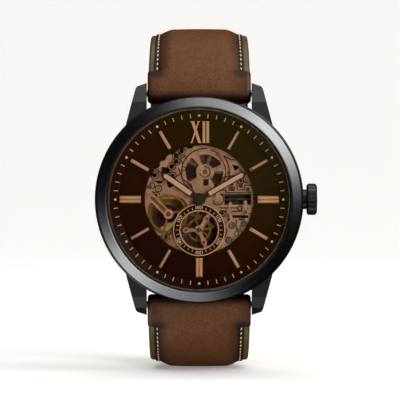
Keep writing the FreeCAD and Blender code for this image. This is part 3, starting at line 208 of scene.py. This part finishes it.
class Maker:
    """One material under construction: add() makes a node, sets its values and links its inputs."""

    def __init__(self, name):
        self.mat = bpy.data.materials.new(name)
        self.mat.use_nodes = True
        self.tree = self.mat.node_tree
        self.tree.nodes.clear()
        self.out = self.tree.nodes.new("ShaderNodeOutputMaterial")

    def add(self, kind, values=None, **settings):
        node = self.tree.nodes.new("ShaderNode" + kind)
        for key, value in settings.items():
            setattr(node, key, value)
        for key, value in (values or {}).items():
            if isinstance(value, bpy.types.NodeSocket):
                self.tree.links.new(value, node.inputs[key])
            else:
                node.inputs[key].default_value = value
        return node

    def done(self, shader):
        self.tree.links.new(shader, self.out.inputs["Surface"])
        return self.mat

    def noise(self, scale_mm, detail=3.0, stretch=(1, 1, 1), rough=0.5):
        """Noise whose features are about scale_mm across."""
        place = self.add("TexCoord").outputs["Object"]
        k = 1.0 / (scale_mm * MM)
        mapped = self.add("Mapping", {"Vector": place, "Scale": tuple(k * s for s in stretch)})
        node = self.add("TexNoise", {"Vector": mapped.outputs[0], "Scale": 1.0, "Detail": detail,
                                     "Roughness": rough})
        return node.outputs["Fac"]

    def ramp(self, fac, stops):
        node = self.add("ValToRGB", {"Fac": fac})
        els = node.color_ramp.elements
        while len(els) < len(stops):
            els.new(0.5)
        for el, (pos, col) in zip(els, stops):
            el.position = pos
            el.color = col
        return node.outputs["Color"]

    def bump(self, height, depth_mm, strength=1.0):
        node = self.add("Bump", {"Height": height, "Strength": strength, "Distance": depth_mm * MM})
        return node.outputs["Normal"]

    def mix(self, fac, a, b, blend="MIX"):
        node = self.add("Mix", data_type="RGBA", blend_type=blend)
        for sock, value in ((0, fac), (6, a), (7, b)):
            if isinstance(value, bpy.types.NodeSocket):
                self.tree.links.new(value, node.inputs[sock])
            else:
                node.inputs[sock].default_value = value
        return node.outputs[2]

    def math(self, op, a, b=0.0):
        node = self.add("Math", operation=op)
        for i, value in enumerate((a, b)):
            if isinstance(value, bpy.types.NodeSocket):
                self.tree.links.new(value, node.inputs[i])
            else:
                node.inputs[i].default_value = value
        return node.outputs[0]


def metal(name, code, rough, grain_mm=0.0):
    """Polished or satin metal; with a grain size its surface is also finely frosted."""
    m = Maker(name)
    values = {"Base Color": linear(code), "Metallic": 1.0, "Roughness": rough}
    if grain_mm:
        values["Normal"] = m.bump(m.noise(grain_mm, 2.0), 0.004, 0.5)
    return m.done(m.add("BsdfPrincipled", values).outputs[0])


def plain(name, code, rough):
    """Even non-metal of one colour."""
    m = Maker(name)
    return m.done(m.add("BsdfPrincipled", {"Base Color": linear(code), "Roughness": rough}).outputs[0])


def ring_brushed_steel():
    """Black ion-plated steel turned on a lathe: fine rings that stretch a lamp into a radial flare."""
    m = Maker("black_plated_steel_ring_brushed")
    place = m.add("TexCoord").outputs["Object"]
    xyz = m.add("SeparateXYZ", {"Vector": place})
    flat = m.add("CombineXYZ", {"X": xyz.outputs["X"], "Y": xyz.outputs["Z"]})
    radius = m.add("VectorMath", {0: flat.outputs[0]}, operation="LENGTH").outputs["Value"]
    lines = m.add("TexNoise", {"W": m.math("MULTIPLY", radius, 9000.0), "Scale": 1.0, "Detail": 4.0},
                  noise_dimensions="1D").outputs["Fac"]
    rough = m.add("MapRange", {"Value": lines, "To Min": 0.22, "To Max": 0.34}).outputs[0]
    tan = m.add("Tangent", direction_type="RADIAL", axis="Y").outputs[0]
    bsdf = m.add("BsdfPrincipled", {"Base Color": linear("636364"), "Metallic": 1.0, "Roughness": rough,
                                    "Anisotropic": 0.82, "Tangent": tan, "Normal": m.bump(lines, 0.002, 0.4)})
    return m.done(bsdf.outputs[0])


def satin_black_steel():
    """Black plated steel with straight satin brushing along the lugs."""
    m = Maker("black_plated_steel_satin")
    grain = m.noise(0.12, 2.0, stretch=(1.0, 1.0, 0.03))
    rough = m.add("MapRange", {"Value": grain, "To Min": 0.32, "To Max": 0.46}).outputs[0]
    bsdf = m.add("BsdfPrincipled", {"Base Color": linear("484849"), "Metallic": 1.0, "Roughness": rough,
                                    "Normal": m.bump(grain, 0.003, 0.35)})
    return m.done(bsdf.outputs[0])


def dial_lacquer():
    """Dark brown lacquer over a sunburst-brushed disc, with a painted reflection of the crystal's coat: warm at
    the foot, olive towards two o'clock.
    """
    m = Maker("brown_dial_lacquer")
    place = m.add("TexCoord").outputs["Object"]
    xyz = m.add("SeparateXYZ", {"Vector": place})
    # painted reflection: the colour runs from warm brown at the foot to olive towards two o'clock
    lean = m.math("ADD", m.math("MULTIPLY", xyz.outputs["X"], 22.0), m.math("MULTIPLY", xyz.outputs["Z"], 26.0))
    lean = m.math("ADD", lean, 0.5)
    colour = m.ramp(lean, [(0.05, linear("220b03")), (0.45, linear("2b1304")),
                           (0.7, linear("2b1a05")), (1.0, linear("2c2507"))])
    tan = m.add("Tangent", direction_type="RADIAL", axis="Y").outputs[0]
    bsdf = m.add("BsdfPrincipled", {"Base Color": colour, "Roughness": 0.3, "Specular IOR Level": 0.06,
                                    "Anisotropic": 0.5, "Anisotropic Rotation": 0.25, "Tangent": tan})
    return m.done(bsdf.outputs[0])


def sapphire():
    """Flat sapphire crystal with an anti-reflection coat: clear, with only a faint glint at grazing angles."""
    m = Maker("coated_sapphire_crystal")
    fres = m.add("Fresnel", {"IOR": 1.77}).outputs[0]
    weak = m.math("MULTIPLY", fres, 0.02)
    clear = m.add("BsdfTransparent", {"Color": linear("fbf7f2")}).outputs[0]
    glint = m.add("BsdfGlossy", {"Color": (1, 0.97, 0.9, 1), "Roughness": 0.02}).outputs[0]
    node = m.add("MixShader", {0: weak, 1: clear, 2: glint})
    return m.done(node.outputs[0])


def rose_plate():
    """Frosted rose-gold plated brass: fine grain blast, with painted shade darkening the pockets and cut sides.
    """
    m = Maker("rose_plated_movement_brass")
    cloud = m.noise(1.6, 5.0, rough=0.65)
    colour = m.ramp(cloud, [(0.3, linear("a07c66")), (0.5, linear("c39b82")), (0.75, linear("e2c0a6"))])
    grain = m.noise(0.09, 2.0)
    place = m.add("SeparateXYZ", {"Vector": m.add("TexCoord").outputs["Object"]}).outputs["Y"]
    facing = m.add("SeparateXYZ", {"Vector": m.add("NewGeometry").outputs["Normal"]}).outputs["Y"]
    # painted shade: below the plate top the pockets and cut sides are mixed towards near-black
    below = m.math("GREATER_THAN", place, -PLATE_TOP * MM + 0.00004)
    deep = m.math("MULTIPLY", below, m.math("LESS_THAN", facing, 0.5))
    colour = m.mix(m.math("MULTIPLY", deep, 0.82), colour, linear("140b07"))
    bsdf = m.add("BsdfPrincipled", {"Base Color": colour, "Metallic": 0.75, "Roughness": 0.46,
                                    "Normal": m.bump(grain, 0.012, 0.6)})
    return m.done(bsdf.outputs[0])


def ruby():
    """Synthetic ruby bearing: deep red, polished."""
    m = Maker("ruby_jewel")
    bsdf = m.add("BsdfPrincipled", {"Base Color": linear("a3162f"), "Roughness": 0.05, "IOR": 1.77,
                                    "Subsurface Weight": 0.2, "Subsurface Scale": 0.0005, "Coat Weight": 0.5})
    return m.done(bsdf.outputs[0])


def waxed_leather():
    """Pull-up leather, waxed: mottled brown with fine pores, darkened through the burnish-and-shade attribute;
    on the strap this is painted shade at the fold round the bar, in the stitch groove, in the notch's corner
    and down the crown's slopes, and darker towards the sides and round the holes.
    """
    m = Maker("waxed_pull_up_leather")
    black, white = (0, 0, 0, 1), (1, 1, 1, 1)
    burnish_and_shade_amount = m.add("Attribute", attribute_name="burnish_and_shade").outputs["Fac"]
    cloud = m.noise(9.0, 5.0, stretch=(1.0, 1.0, 0.7), rough=0.6)
    mottle = m.noise(1.3, 5.0, rough=0.7)
    pores = m.noise(0.3, 6.0, rough=0.8)
    light = m.ramp(cloud, [(0.3, linear("7a3508")), (0.5, linear("8a5018")), (0.7, linear("7d6030"))])
    light = m.mix(0.35, light, m.ramp(mottle, [(0.3, linear("4a2408")), (0.7, linear("a8702f"))]))
    light = m.mix(0.5, light, m.ramp(pores, [(0.38, linear("4e2708")), (0.62, linear("a2682a"))]))
    # painted shade: where the attribute is high the leather is mixed to red-brown, then to near-black
    red = m.mix(m.ramp(burnish_and_shade_amount, [(0.0, black), (0.5, white)]), light, linear("512a0b"))
    colour = m.mix(m.ramp(burnish_and_shade_amount, [(0.45, black), (1.0, white)]), red, linear("1a0b04"))
    shade = m.ramp(pores, [(0.36, (0.45, 0.45, 0.45, 1)), (0.62, white)])
    colour = m.mix(0.6, colour, shade, "MULTIPLY")
    colour = m.mix(1.0, colour, (0.6, 0.53, 0.38, 1), "MULTIPLY")
    creases = m.noise(1.1, 4.0, stretch=(1.6, 1.0, 0.6), rough=0.6)
    height = m.math("ADD", m.math("MULTIPLY", pores, 0.5), creases)
    rough = m.add("MapRange", {"Value": mottle, "To Min": 0.42, "To Max": 0.56}).outputs[0]
    bsdf = m.add("BsdfPrincipled", {"Base Color": colour, "Roughness": rough, "Specular IOR Level": 0.3,
                                    "Normal": m.bump(height, 0.12, 0.7)})
    return m.done(bsdf.outputs[0])


def waxed_edge():
    """Painted and waxed leather edge: olive, rubbed shiny, with the layers showing as fine lines."""
    m = Maker("olive_waxed_edge")
    streak = m.noise(2.5, 5.0, rough=0.6)
    colour = m.ramp(streak, [(0.3, linear("463a18")), (0.55, linear("5a4e26")), (0.8, linear("6f6136"))])
    bsdf = m.add("BsdfPrincipled", {"Base Color": colour, "Roughness": 0.38,
                                    "Normal": m.bump(streak, 0.03, 0.5)})
    return m.done(bsdf.outputs[0])


def lining_leather():
    """Undyed calf lining: pale tan and matt."""
    m = Maker("calf_lining")
    cloud = m.noise(4.0, 4.0)
    colour = m.ramp(cloud, [(0.3, linear("9a7650")), (0.7, linear("b8946a"))])
    bsdf = m.add("BsdfPrincipled", {"Base Color": colour, "Roughness": 0.7,
                                    "Normal": m.bump(m.noise(0.2, 4.0), 0.03, 0.4)})
    return m.done(bsdf.outputs[0])


ring_steel = ring_brushed_steel()
satin_steel = satin_black_steel()
polished_black = metal("black_plated_steel_polished", "484848", 0.3)
crystal = sapphire()
lacquer = dial_lacquer()
copper = rose_plate()
rose_gold = metal("satin_rose_gold", "f8cca6", 0.5)
gilt = metal("gilt_brass", "d8a457", 0.3, grain_mm=0.1)
steel = metal("polished_steel", "b9b6b2", 0.25)
dark_steel = metal("dark_oxidised_steel", "5a4d45", 0.4)
rose_wheel = metal("rose_plated_wheel_brass", "a8826a", 0.42, grain_mm=0.1)
blued = metal("blued_spring_steel", "3b4766", 0.3)
bronze = plain("dark_bronze_hand_lacquer", "2c150c", 0.35)
hand_fill = plain("pale_rose_hand_fill", "bf9e88", 0.5)
rubber = plain("black_nitrile_rubber", "0a0a0a", 0.6)
holder = plain("black_movement_holder", "0b0b0b", 0.5)
print_cream = plain("cream_dial_print", "e2cfb8", 0.6)
thread = plain("waxed_linen_thread", "d8c8a6", 0.7)
leather = waxed_leather()
edge_wax = waxed_edge()
lining = lining_leather()
ruby_red = ruby()

finish_of = {
    "middle_case": satin_steel, "bezel": ring_steel, "rear_cover": ring_steel, "winding_crown": polished_black,
    "crown_tube": polished_black, "buckle_frame": satin_steel, "buckle_tongue": satin_steel, "crystal": crystal,
    "rear_glass": crystal, "glass_gaskets": rubber, "crown_gasket": rubber, "dial": lacquer,
    "chapter_ring": lacquer,
    "seconds_ring": lacquer, "applied_markers": rose_gold, "main_plate": copper, "barrel_bridge": copper,
    "train_bridge": copper, "escapement_bridges": copper, "dial_side_bridges": copper,
    "automatic_bridge": copper,
    "front_jewels": ruby_red, "movement_screws": steel, "movement_springs": steel, "movement_ring": holder,
    "spring_bars": steel, "mainspring_barrel": rose_wheel, "mainspring": dark_steel, "barrel_arbor": steel,
    "ratchet_wheel": steel, "winding_crown_wheel": steel, "centre_wheel": gilt, "third_wheel": gilt,
    "fourth_wheel": gilt, "seconds_hand": bronze, "escape_wheel": steel, "pallet_lever": steel,
    "balance_wheel": gilt, "hairspring": blued, "cannon_pinion": bronze, "minute_hand": bronze,
    "hour_hand": bronze,
    "minute_hand_fill": hand_fill, "hour_hand_fill": hand_fill, "minute_wheel": copper, "hour_wheel": bronze,
    "setting_wheel": copper, "winding_stem": steel, "sliding_pinion": steel, "winding_pinion": steel,
    "setting_lever": copper, "yoke": copper, "click": steel, "rotor": gilt, "reverser_wheel": gilt,
    "reverser_pinion": steel, "fixed_keeper": leather, "free_keeper": leather,
}
for name, mat in finish_of.items():
    mesh = nodes[name].data
    mesh.materials.clear()
    mesh.materials.append(mat)

# the raised lip and the foot of the chapter ring are polished steel, its slope is lacquered
lip_mesh = nodes["chapter_ring"].data
lip_mesh.materials.append(steel)
for p in lip_mesh.polygons:
    away = math.hypot(p.center.x, p.center.z)
    if away > 18.87 * MM or p.normal.y < -0.99 and away > 18.0 * MM:
        p.material_index = 1

# ------------------------------------------------------------------ strap, made flat and then bent


def full_width(s, length):
    """Width of the strap at s: narrowing evenly from its wide end to its other end."""
    t = max(0.0, s - STEP_AT) / (length - STEP_AT)
    return STRAP_W - STEP_NARROW + (BUCKLE_W - STRAP_W + STEP_NARROW) * t


def thickness(s, length, end):
    """Thickness of the strap at s, down to end at its far end."""
    return STRAP_T + (end - STRAP_T) * max(0.0, s - 12.0) / (length - 12.0)


def stations(first, last, fine_to, fine, coarse):
    """Places along the strap where its outline is drawn, closer together up to fine_to."""
    out, s = [], first
    while s < last - 1e-6:
        out.append(s)
        s += fine if s < fine_to else coarse
    out.append(last)
    return out


def tail_trim(s, length, tail):
    """Share of the width left at s where the tail is rounded off."""
    if not tail:
        return 1.0
    d = (s - (length - TAIL_ROUND)) / TAIL_ROUND
    return 1.0 if d <= 0 else math.sqrt(max(0.06, 1 - d * d * 0.94))


def top_section(s, length, end, tail):
    """Outline of the top leather at s: crown, stitched margin, rounded side, underside."""
    t = thickness(s, length, end)
    wrap = 1.0 - smooth_step((s - (STEP_AT - 0.25)) / 0.5)
    reach = 1.0 - smooth_step((s - (STEP_AT - 1.6)) / 4.2)
    full = full_width(s, length) / 2
    half = (STRAP_W / 2 - 0.05) * wrap + (full - EDGE_BAND) * (1 - wrap)
    half *= tail_trim(s, length, tail)
    full *= tail_trim(s, length, tail)
    pad = 1.2 * (1 - 0.75 * smooth_step((s - 14.0) / 30.0))
    pad *= 1 - 0.5 * smooth_step((s - (length - 14.0)) / 10.0)
    margin = t / 2 - 1.05
    side_r = 0.3 + 0.5 * wrap
    under = (margin - 0.55) * (1 - wrap) + (-t / 2 + 0.35) * wrap
    if s < 0:
        under = 1.0
    pts = []
    columns = 44
    for i in range(-columns, columns + 1):
        c = i / columns
        x = (half - side_r) * c
        gap = full - abs(x)
        rise = max(0.0, min(1.0, (gap - CROWN_OUT) / (CROWN_IN - CROWN_OUT)))
        crown = 0.45 * smooth_step(rise) + 0.55 * (1 - (1 - rise) ** 2.6)
        dome = 1 - 0.16 * (x / (full - CROWN_OUT)) ** 2
        groove = -0.14 * math.exp(-((gap - STITCH_IN) / 0.28) ** 2)
        padded = margin + pad * crown * dome + groove
        full_end = t / 2 + 0.12 * (1 - c ** 4) * smooth_step(s / 4)
        z = padded * (1 - wrap) + full_end * wrap
        blend = reach * crown
        pts.append((x, s, z * (1 - blend) + max(padded, full_end) * blend))
    edge_z = pts[-1][2]
    arc = 6
    side = []
    for i in range(1, arc + 1):
        a = math.pi / 2 * i / arc
        drop = min(side_r, edge_z - under) * (1 - math.cos(a))
        side.append((half - side_r + side_r * math.sin(a), s, edge_z - drop))
    side += [(half, s, under), (half * 0.5, s, under)]
    return pts + side + [(-x, s, z) for x, s, z in reversed(side)]


def slab_section(s, half, lo, hi, r):
    """Flat layer with rounded long edges."""
    return [(x, s, z) for x, z, _, _ in corners(half, lo, hi, r, 4)]


def punch(bm, holes):
    """Punched holes for the tongue: the skin is pressed in as far as the core."""
    for v in bm.verts:
        for h in holes:
            d = math.hypot(v.co.x, v.co.y - h)
            if d < HOLE_R + 0.35 and v.co.z > 0:
                v.co.z -= 1.1 * (1 - smooth_step((d - HOLE_R + 0.1) / 0.45))


def darken_strap(bm, length, holes):
    """How dark each place is made: painted shade at the fold round the spring bar, along the stitch groove, in
    the notch's corner and down the crown's slopes; also darker towards the sides and round the holes.
    """
    layer = bm.verts.layers.float.new("burnish_and_shade")
    for v in bm.verts:
        s, x = v.co.y, abs(v.co.x)
        gap = full_width(s, length) / 2 - x
        # painted shade: fold, lip, slope and notch darken the fold round the bar, the stitch groove, the
        # crown's slopes and the notch's corner
        fold = 1 - smooth_step((s + 3.0) / 3.2)
        beyond = smooth_step((s - STEP_AT + 0.6) / 1.2)
        lip = math.exp(-((gap - STITCH_IN) / 0.75) ** 2) * beyond
        slope = 0.42 * (1 - smooth_step((gap - STITCH_IN) / 3.4)) * beyond
        notch = 0.95 * math.exp(-(((s - STEP_AT + 0.5) / 1.2) ** 2 + ((gap - 1.6) / 1.9) ** 2))
        flank = 0.35 * smooth_step((x - 6.5) / 4.0)
        punched = 0.0
        for h in holes:
            if abs(s - h) < 1.6:
                punched = max(punched, 1 - smooth_step((math.hypot(v.co.x, s - h) - HOLE_R) / 0.4))
        v[layer] = min(1.0, max(fold, lip, slope, notch, flank, punched))


def layer_of(rows, length, end, tail, trim, low, high, r):
    """Flat layer of the strap: low and high give its two faces from the thickness there."""
    bm = bmesh.new()
    outlines = []
    for s in rows:
        half, t = (full_width(s, length) / 2 - trim) * tail_trim(s, length, tail), thickness(s, length, end)
        outlines.append(slab_section(s, half, low(t), high(t), r))
    loft(bm, outlines)
    return bm


def make_strap(which, side, far_r, length, end, tail):
    """One half of the strap: padded top leather, waxed edge, lining, tube for the spring bar and stitching."""
    body = which + "_strap"
    bm = bmesh.new()
    holes = [length - HOLE_FIRST - HOLE_PITCH * i for i in range(HOLE_COUNT)] if tail else []
    rows = stations(ROLL_START, length - 0.3, 8.0, 0.2, 0.4 if tail else 0.8)
    loft(bm, [top_section(s, length, end, tail) for s in rows])
    punch(bm, holes)
    darken_strap(bm, length, holes)
    bend(bm, far_r, side)
    top = finish_mesh(bm, body + "_top_leather", leather, body, replaces=("strap_" + which,))

    rows = stations(STEP_AT - 0.6, length - 0.1, 6.0, 0.4, 1.0)
    bm = layer_of(rows, length, end, tail, 0.0, lambda t: -t / 2 + 0.75, lambda t: t / 2 - 1.4, 0.6)
    bend(bm, far_r, side)
    finish_mesh(bm, body + "_edge_core", edge_wax, body)

    rows = stations(2.4, length - 0.2, 6.0, 0.5, 1.0)
    bm = layer_of(rows, length, end, tail, 0.12, lambda t: -t / 2, lambda t: -t / 2 + 0.85, 0.25)
    bend(bm, far_r, side)
    finish_mesh(bm, body + "_lining", lining, body)

    # lining tube round the spring bar, inside the rolled leather
    bm = bmesh.new()
    tube = bmesh.ops.create_circle(bm, segments=40, radius=1.2)["verts"]
    bmesh.ops.rotate(bm, matrix=Matrix.Rotation(math.pi / 2, 3, "Y"), verts=tube)
    bmesh.ops.translate(bm, vec=(-STRAP_W / 2 + 0.15, 0, 0), verts=tube)
    made = bmesh.ops.extrude_edge_only(bm, edges=bm.edges[:])["geom"]
    far_end = [g for g in made if isinstance(g, bmesh.types.BMVert)]
    bmesh.ops.translate(bm, vec=(STRAP_W - 0.3, 0, 0), verts=far_end)
    bmesh.ops.solidify(bm, geom=bm.faces[:], thickness=-0.4)
    for v in bm.verts:
        v.co = at(v.co.x, side * (BAR_Y + v.co.y), BAR_W + v.co.z)
    finish_mesh(bm, body + "_bar_tube", lining, body)

    # saddle stitches down both margins
    bm = bmesh.new()
    pitch, long, fat = 1.25, 0.8, 0.17
    for i in range(int((length - 12.0 - STEP_AT) / pitch)):
        s = STEP_AT + 1.0 + pitch * i
        for hand in (-1, 1):
            x = hand * (full_width(s, length) / 2 - STITCH_IN)
            stitch(bm, x, s, thickness(s, length, end) / 2 - 1.05 - 0.02, (fat, long / 2, fat * 0.9), hand * 9)
    bend(bm, far_r, side)
    finish_mesh(bm, body + "_stitching", thread, body)


make_strap("upper", 1, FAR_R_UPPER, UPPER_LEN, UPPER_END_T, False)
make_strap("lower", -1, FAR_R_LOWER, LOWER_LEN, TAIL_T, True)

# ------------------------------------------------------------------ keepers and the roll round the buckle bar


def stand(bm, s):
    """Moves a straight piece, built about length s along the flat upper strap, to its place on the curve."""
    y0, w0 = strap_point(s, 0.0, FAR_R_UPPER)
    y1, w1 = strap_point(s, 1.0, FAR_R_UPPER)
    out = (y1 - y0, w1 - w0)
    for v in bm.verts:
        u, n = v.co.y - s, v.co.z
        v.co = at(v.co.x, y0 + out[0] * n + out[1] * u, w0 + out[1] * n - out[0] * u)


def wall_profile(along, thick, r):
    """Rounded rectangle, as (place along, height above the inner face), slightly crowned outside."""
    pts = []
    for u, h, _, _ in corners(along / 2, 0.0, thick, r, 4):
        pts.append((u, h + (0.16 * (1 - (2 * u / along) ** 2) if h > thick / 2 else 0.0)))
    return pts


def make_keeper(name, body, s, long, clearance, travel):
    """Folded leather loop, crowned outside and darker along both edges, with a stitched joint underneath."""
    t = UPPER_END_T + (STRAP_T - UPPER_END_T) * (UPPER_LEN - s) / UPPER_LEN
    half_w = full_width(s - long / 2 - travel, UPPER_LEN) / 2 + clearance
    lo, hi = -t / 2 - clearance, t / 2 + TAIL_T + 0.3
    wall = wall_profile(long, KEEPER_WALL, 0.3)
    bm = bmesh.new()
    closed_ring(bm, [[(x + dx * h, s + u, z + dz * h) for u, h in wall]
                     for x, z, dx, dz in corners(half_w, lo, hi, 0.5, 5)])
    layer = bm.verts.layers.float.new("burnish_and_shade")
    for v in bm.verts:
        v[layer] = 0.25 + 0.6 * smooth_step((abs(v.co.y - s) - long / 2 + 0.9) / 0.9)
    stand(bm, s)
    finish_mesh(bm, name + "_loop", leather, body, replaces=(name,))
    bm = bmesh.new()
    pitch = 1.1
    for i in range(int(long / pitch)):
        for x in (-2.2, 2.2):
            stitch(bm, x, s - long / 2 + 0.75 + pitch * i, lo - 1.02, (0.17, 0.4, 0.15))
    stand(bm, s)
    finish_mesh(bm, name + "_stitching", thread, body)


make_keeper("fixed_keeper", "upper_strap", 64.5, 5.0, 0.15, 0.0)
make_keeper("free_keeper", "keeper_loop", 55.5, 6.0, 0.3, 3.0)

# the end of the upper half is rolled round the buckle bar either side of the tongue
buckle_bar_at = UPPER_LEN + 0.6
roll = bmesh.new()
for hand in (-1, 1):
    x0, x1 = TONGUE_GAP, BUCKLE_W / 2 - 0.1
    outline = [(x0, ROLL_IN), (x0, ROLL_OUT - 0.2), (x0 + 0.2, ROLL_OUT),
               (x1 - 0.2, ROLL_OUT), (x1, ROLL_OUT - 0.2), (x1, ROLL_IN)]
    rings = []
    for k in range(36):
        a = math.radians(10 * k)
        rings.append([(hand * x, buckle_bar_at + r * math.cos(a), r * math.sin(a)) for x, r in outline])
    one = bmesh.new()
    closed_ring(one, rings)
    merge(roll, one)
layer = roll.verts.layers.float.new("burnish_and_shade")
for v in roll.verts:
    v[layer] = 0.45
stand(roll, buckle_bar_at)
finish_mesh(roll, "buckle_end_roll", leather, "upper_strap")

# ------------------------------------------------------------------ dial print


def track_height(r):
    """Height of the sloping minute track at radius r."""
    return DIAL_TOP + 0.25 + 0.95 / 1.95 * (r - 17.0)


bm = bmesh.new()
for minute in range(60):
    deg = 6.0 * minute
    if minute % 5:
        for k in range(2):
            r = TRACK_R + TRACK_PITCH * k
            add_box(bm, (0.14 * MM, 0.44 * MM, 0.03 * MM), clock(deg, r, w=track_height(r) + 0.02))
    else:
        r = 17.7
        made = bmesh.ops.create_cone(bm, cap_ends=True, segments=20, radius1=0.26 * MM, radius2=0.2 * MM,
                                     depth=0.12 * MM)["verts"]
        bmesh.ops.transform(bm, matrix=clock(deg, r, w=track_height(r) + 0.06), verts=made)
finish_mesh(bm, "minute_track_print", print_cream, "case", smooth=False)

# ticks of the small seconds: long ones beside each numeral, short ones between
bm = bmesh.new()
print_w = DIAL_TOP + 0.2 + 0.02
for second in range(60):
    deg, place = 6.0 * second, second % 10
    if place in (1, 9):
        beside = clock(deg + (2.2 if place == 1 else -2.2), SECONDS_R, SECONDS, print_w)
        add_box(bm, (0.1 * MM, 0.75 * MM, 0.04 * MM), beside)
    elif place in (3, 5, 7):
        add_box(bm, (0.09 * MM, 0.5 * MM, 0.04 * MM), clock(deg, 4.62, SECONDS, print_w))
finish_mesh(bm, "seconds_track_print", print_cream, "case", smooth=False)


def numeral(text, deg):
    """Flat raised figures at a clock angle on the seconds ring."""
    curve = bpy.data.curves.new("numeral_" + text, "FONT")
    curve.body = text
    curve.size = 1.05 * MM
    curve.extrude = 0.02 * MM
    curve.align_x = "CENTER"
    curve.align_y = "CENTER"
    curve.resolution_u = 3
    figures = bpy.data.objects.new("numeral_" + text, curve)
    bpy.context.scene.collection.objects.link(figures)
    bpy.context.view_layer.update()
    mesh = bpy.data.meshes.new_from_object(figures)
    bpy.data.objects.remove(figures)
    bm = bmesh.new()
    bm.from_mesh(mesh)
    bpy.data.meshes.remove(mesh)
    bmesh.ops.transform(bm, matrix=clock(deg, SECONDS_R, SECONDS, print_w), verts=bm.verts)
    return bm


figures = bmesh.new()
for i, text in enumerate(("60", "10", "20", "30", "40", "50")):
    merge(figures, numeral(text, 60.0 * i))
finish_mesh(figures, "seconds_numerals", print_cream, "case", smooth=False)

# ------------------------------------------------------------------ floor and sweep behind
bm = bmesh.new()
profile = [(-2.5, 0.0)]
for k in range(13):
    a = math.radians(90 * k / 12)
    profile.append((0.8 + 0.6 * math.sin(a), 0.6 * (1 - math.cos(a))))
profile.append((1.4, 3.0))
grid = bmesh.ops.create_grid(bm, x_segments=1, y_segments=len(profile) - 1, size=1)["verts"]
for v in grid:
    y, z = profile[round((v.co.y + 1) / 2 * (len(profile) - 1))]
    v.co = Vector((v.co.x * 2.5, y, z + FLOOR_Z))
mesh = bpy.data.meshes.new("studio_sweep")
bm.to_mesh(mesh)
bm.free()
for p in mesh.polygons:
    p.use_smooth = True
sweep = bpy.data.objects.new("studio_sweep", mesh)
bpy.context.scene.collection.objects.link(sweep)
m = Maker("white_paper_sweep")
depth = m.add("SeparateXYZ", {"Vector": m.add("TexCoord").outputs["Object"]}).outputs["Y"]
glow = m.add("MapRange", {"Value": depth, "From Min": 0.15, "From Max": 1.1,
                          "To Min": 0.235, "To Max": 0.325}).outputs[0]
paper = m.add("BsdfPrincipled", {"Base Color": linear("f4f3f1"), "Roughness": 0.9, "Specular IOR Level": 0.1,
                                 "Emission Color": linear("faf9f7"), "Emission Strength": glow})
mesh.materials.append(m.done(paper.outputs[0]))
sweep.visible_glossy = False
sweep.visible_shadow = False

# ------------------------------------------------------------------ light
def softbox(name, place, aim, size, watts):
    """Rectangular lamp at a place, turned towards aim."""
    light = bpy.data.lights.new(name, "AREA")
    light.shape = "RECTANGLE"
    light.size, light.size_y = size
    light.energy = watts
    obj = bpy.data.objects.new(name, light)
    bpy.context.scene.collection.objects.link(obj)
    obj.location = place
    obj.rotation_euler = (Vector(aim) - Vector(place)).to_track_quat("-Z", "Y").to_euler()
    return obj


softbox("key_upper_right", (0.62, -0.42, 0.46), (0, 0, 0), (0.6, 0.6), 4.4)
# cards that only light the metal
for name, place, watts in (("metal_strip_upper_right", (0.36, -0.19, 0.36), 0.78),
                           ("metal_strip_lower_left", (-0.36, -0.19, -0.36), 1.2),
                           ("metal_card_top", (0.1, -0.19, 0.5), 0.62),
                           ("metal_card_bottom", (-0.1, -0.19, -0.5), 0.4)):
    card = softbox(name, place, (0, 0, 0), (0.3, 0.26), watts)
    card.visible_diffuse = False
overhead = softbox("overhead", (0.0, 0.0, 0.8), (0, 0, 0), (1.3, 0.9), 4.6)
overhead.visible_glossy = False
softbox("front_soft", (0.5, -1.2, 0.1), (0, 0, 0), (0.5, 0.5), 3.0)
softbox("sweep_light", (0.0, 0.55, 1.6), (0, 1.3, 0.2), (2.0, 0.6), 8.0)

world = bpy.data.worlds.new("studio")
bpy.context.scene.world = world
world.use_nodes = True
world.node_tree.nodes["Background"].inputs["Color"].default_value = (0.75, 0.77, 0.8, 1)
world.node_tree.nodes["Background"].inputs["Strength"].default_value = 0.025

# ------------------------------------------------------------------ camera
DIAL_PLANE = -0.0095
DISTANCE = 0.8
VIEW_WIDTH = 0.0842     # width of the picture at the dial
SENSOR = 36.0
CAMERA_UP = 0.015       # the view is a touch from above, shifted back to keep the dial centred
cam_data = bpy.data.cameras.new("camera")
cam_data.sensor_width = SENSOR
cam_data.lens = SENSOR * DISTANCE / VIEW_WIDTH
cam_data.shift_y = -CAMERA_UP / VIEW_WIDTH
cam_data.clip_start = 0.01
cam_data.clip_end = 20
cam = bpy.data.objects.new("camera", cam_data)
bpy.context.scene.collection.objects.link(cam)
cam.location = (0.00017, DIAL_PLANE - DISTANCE, -0.0001 + CAMERA_UP)
cam.rotation_euler = (math.pi / 2, 0, 0)
bpy.context.scene.camera = cam
bpy.context.scene.view_settings.view_transform = "Standard"
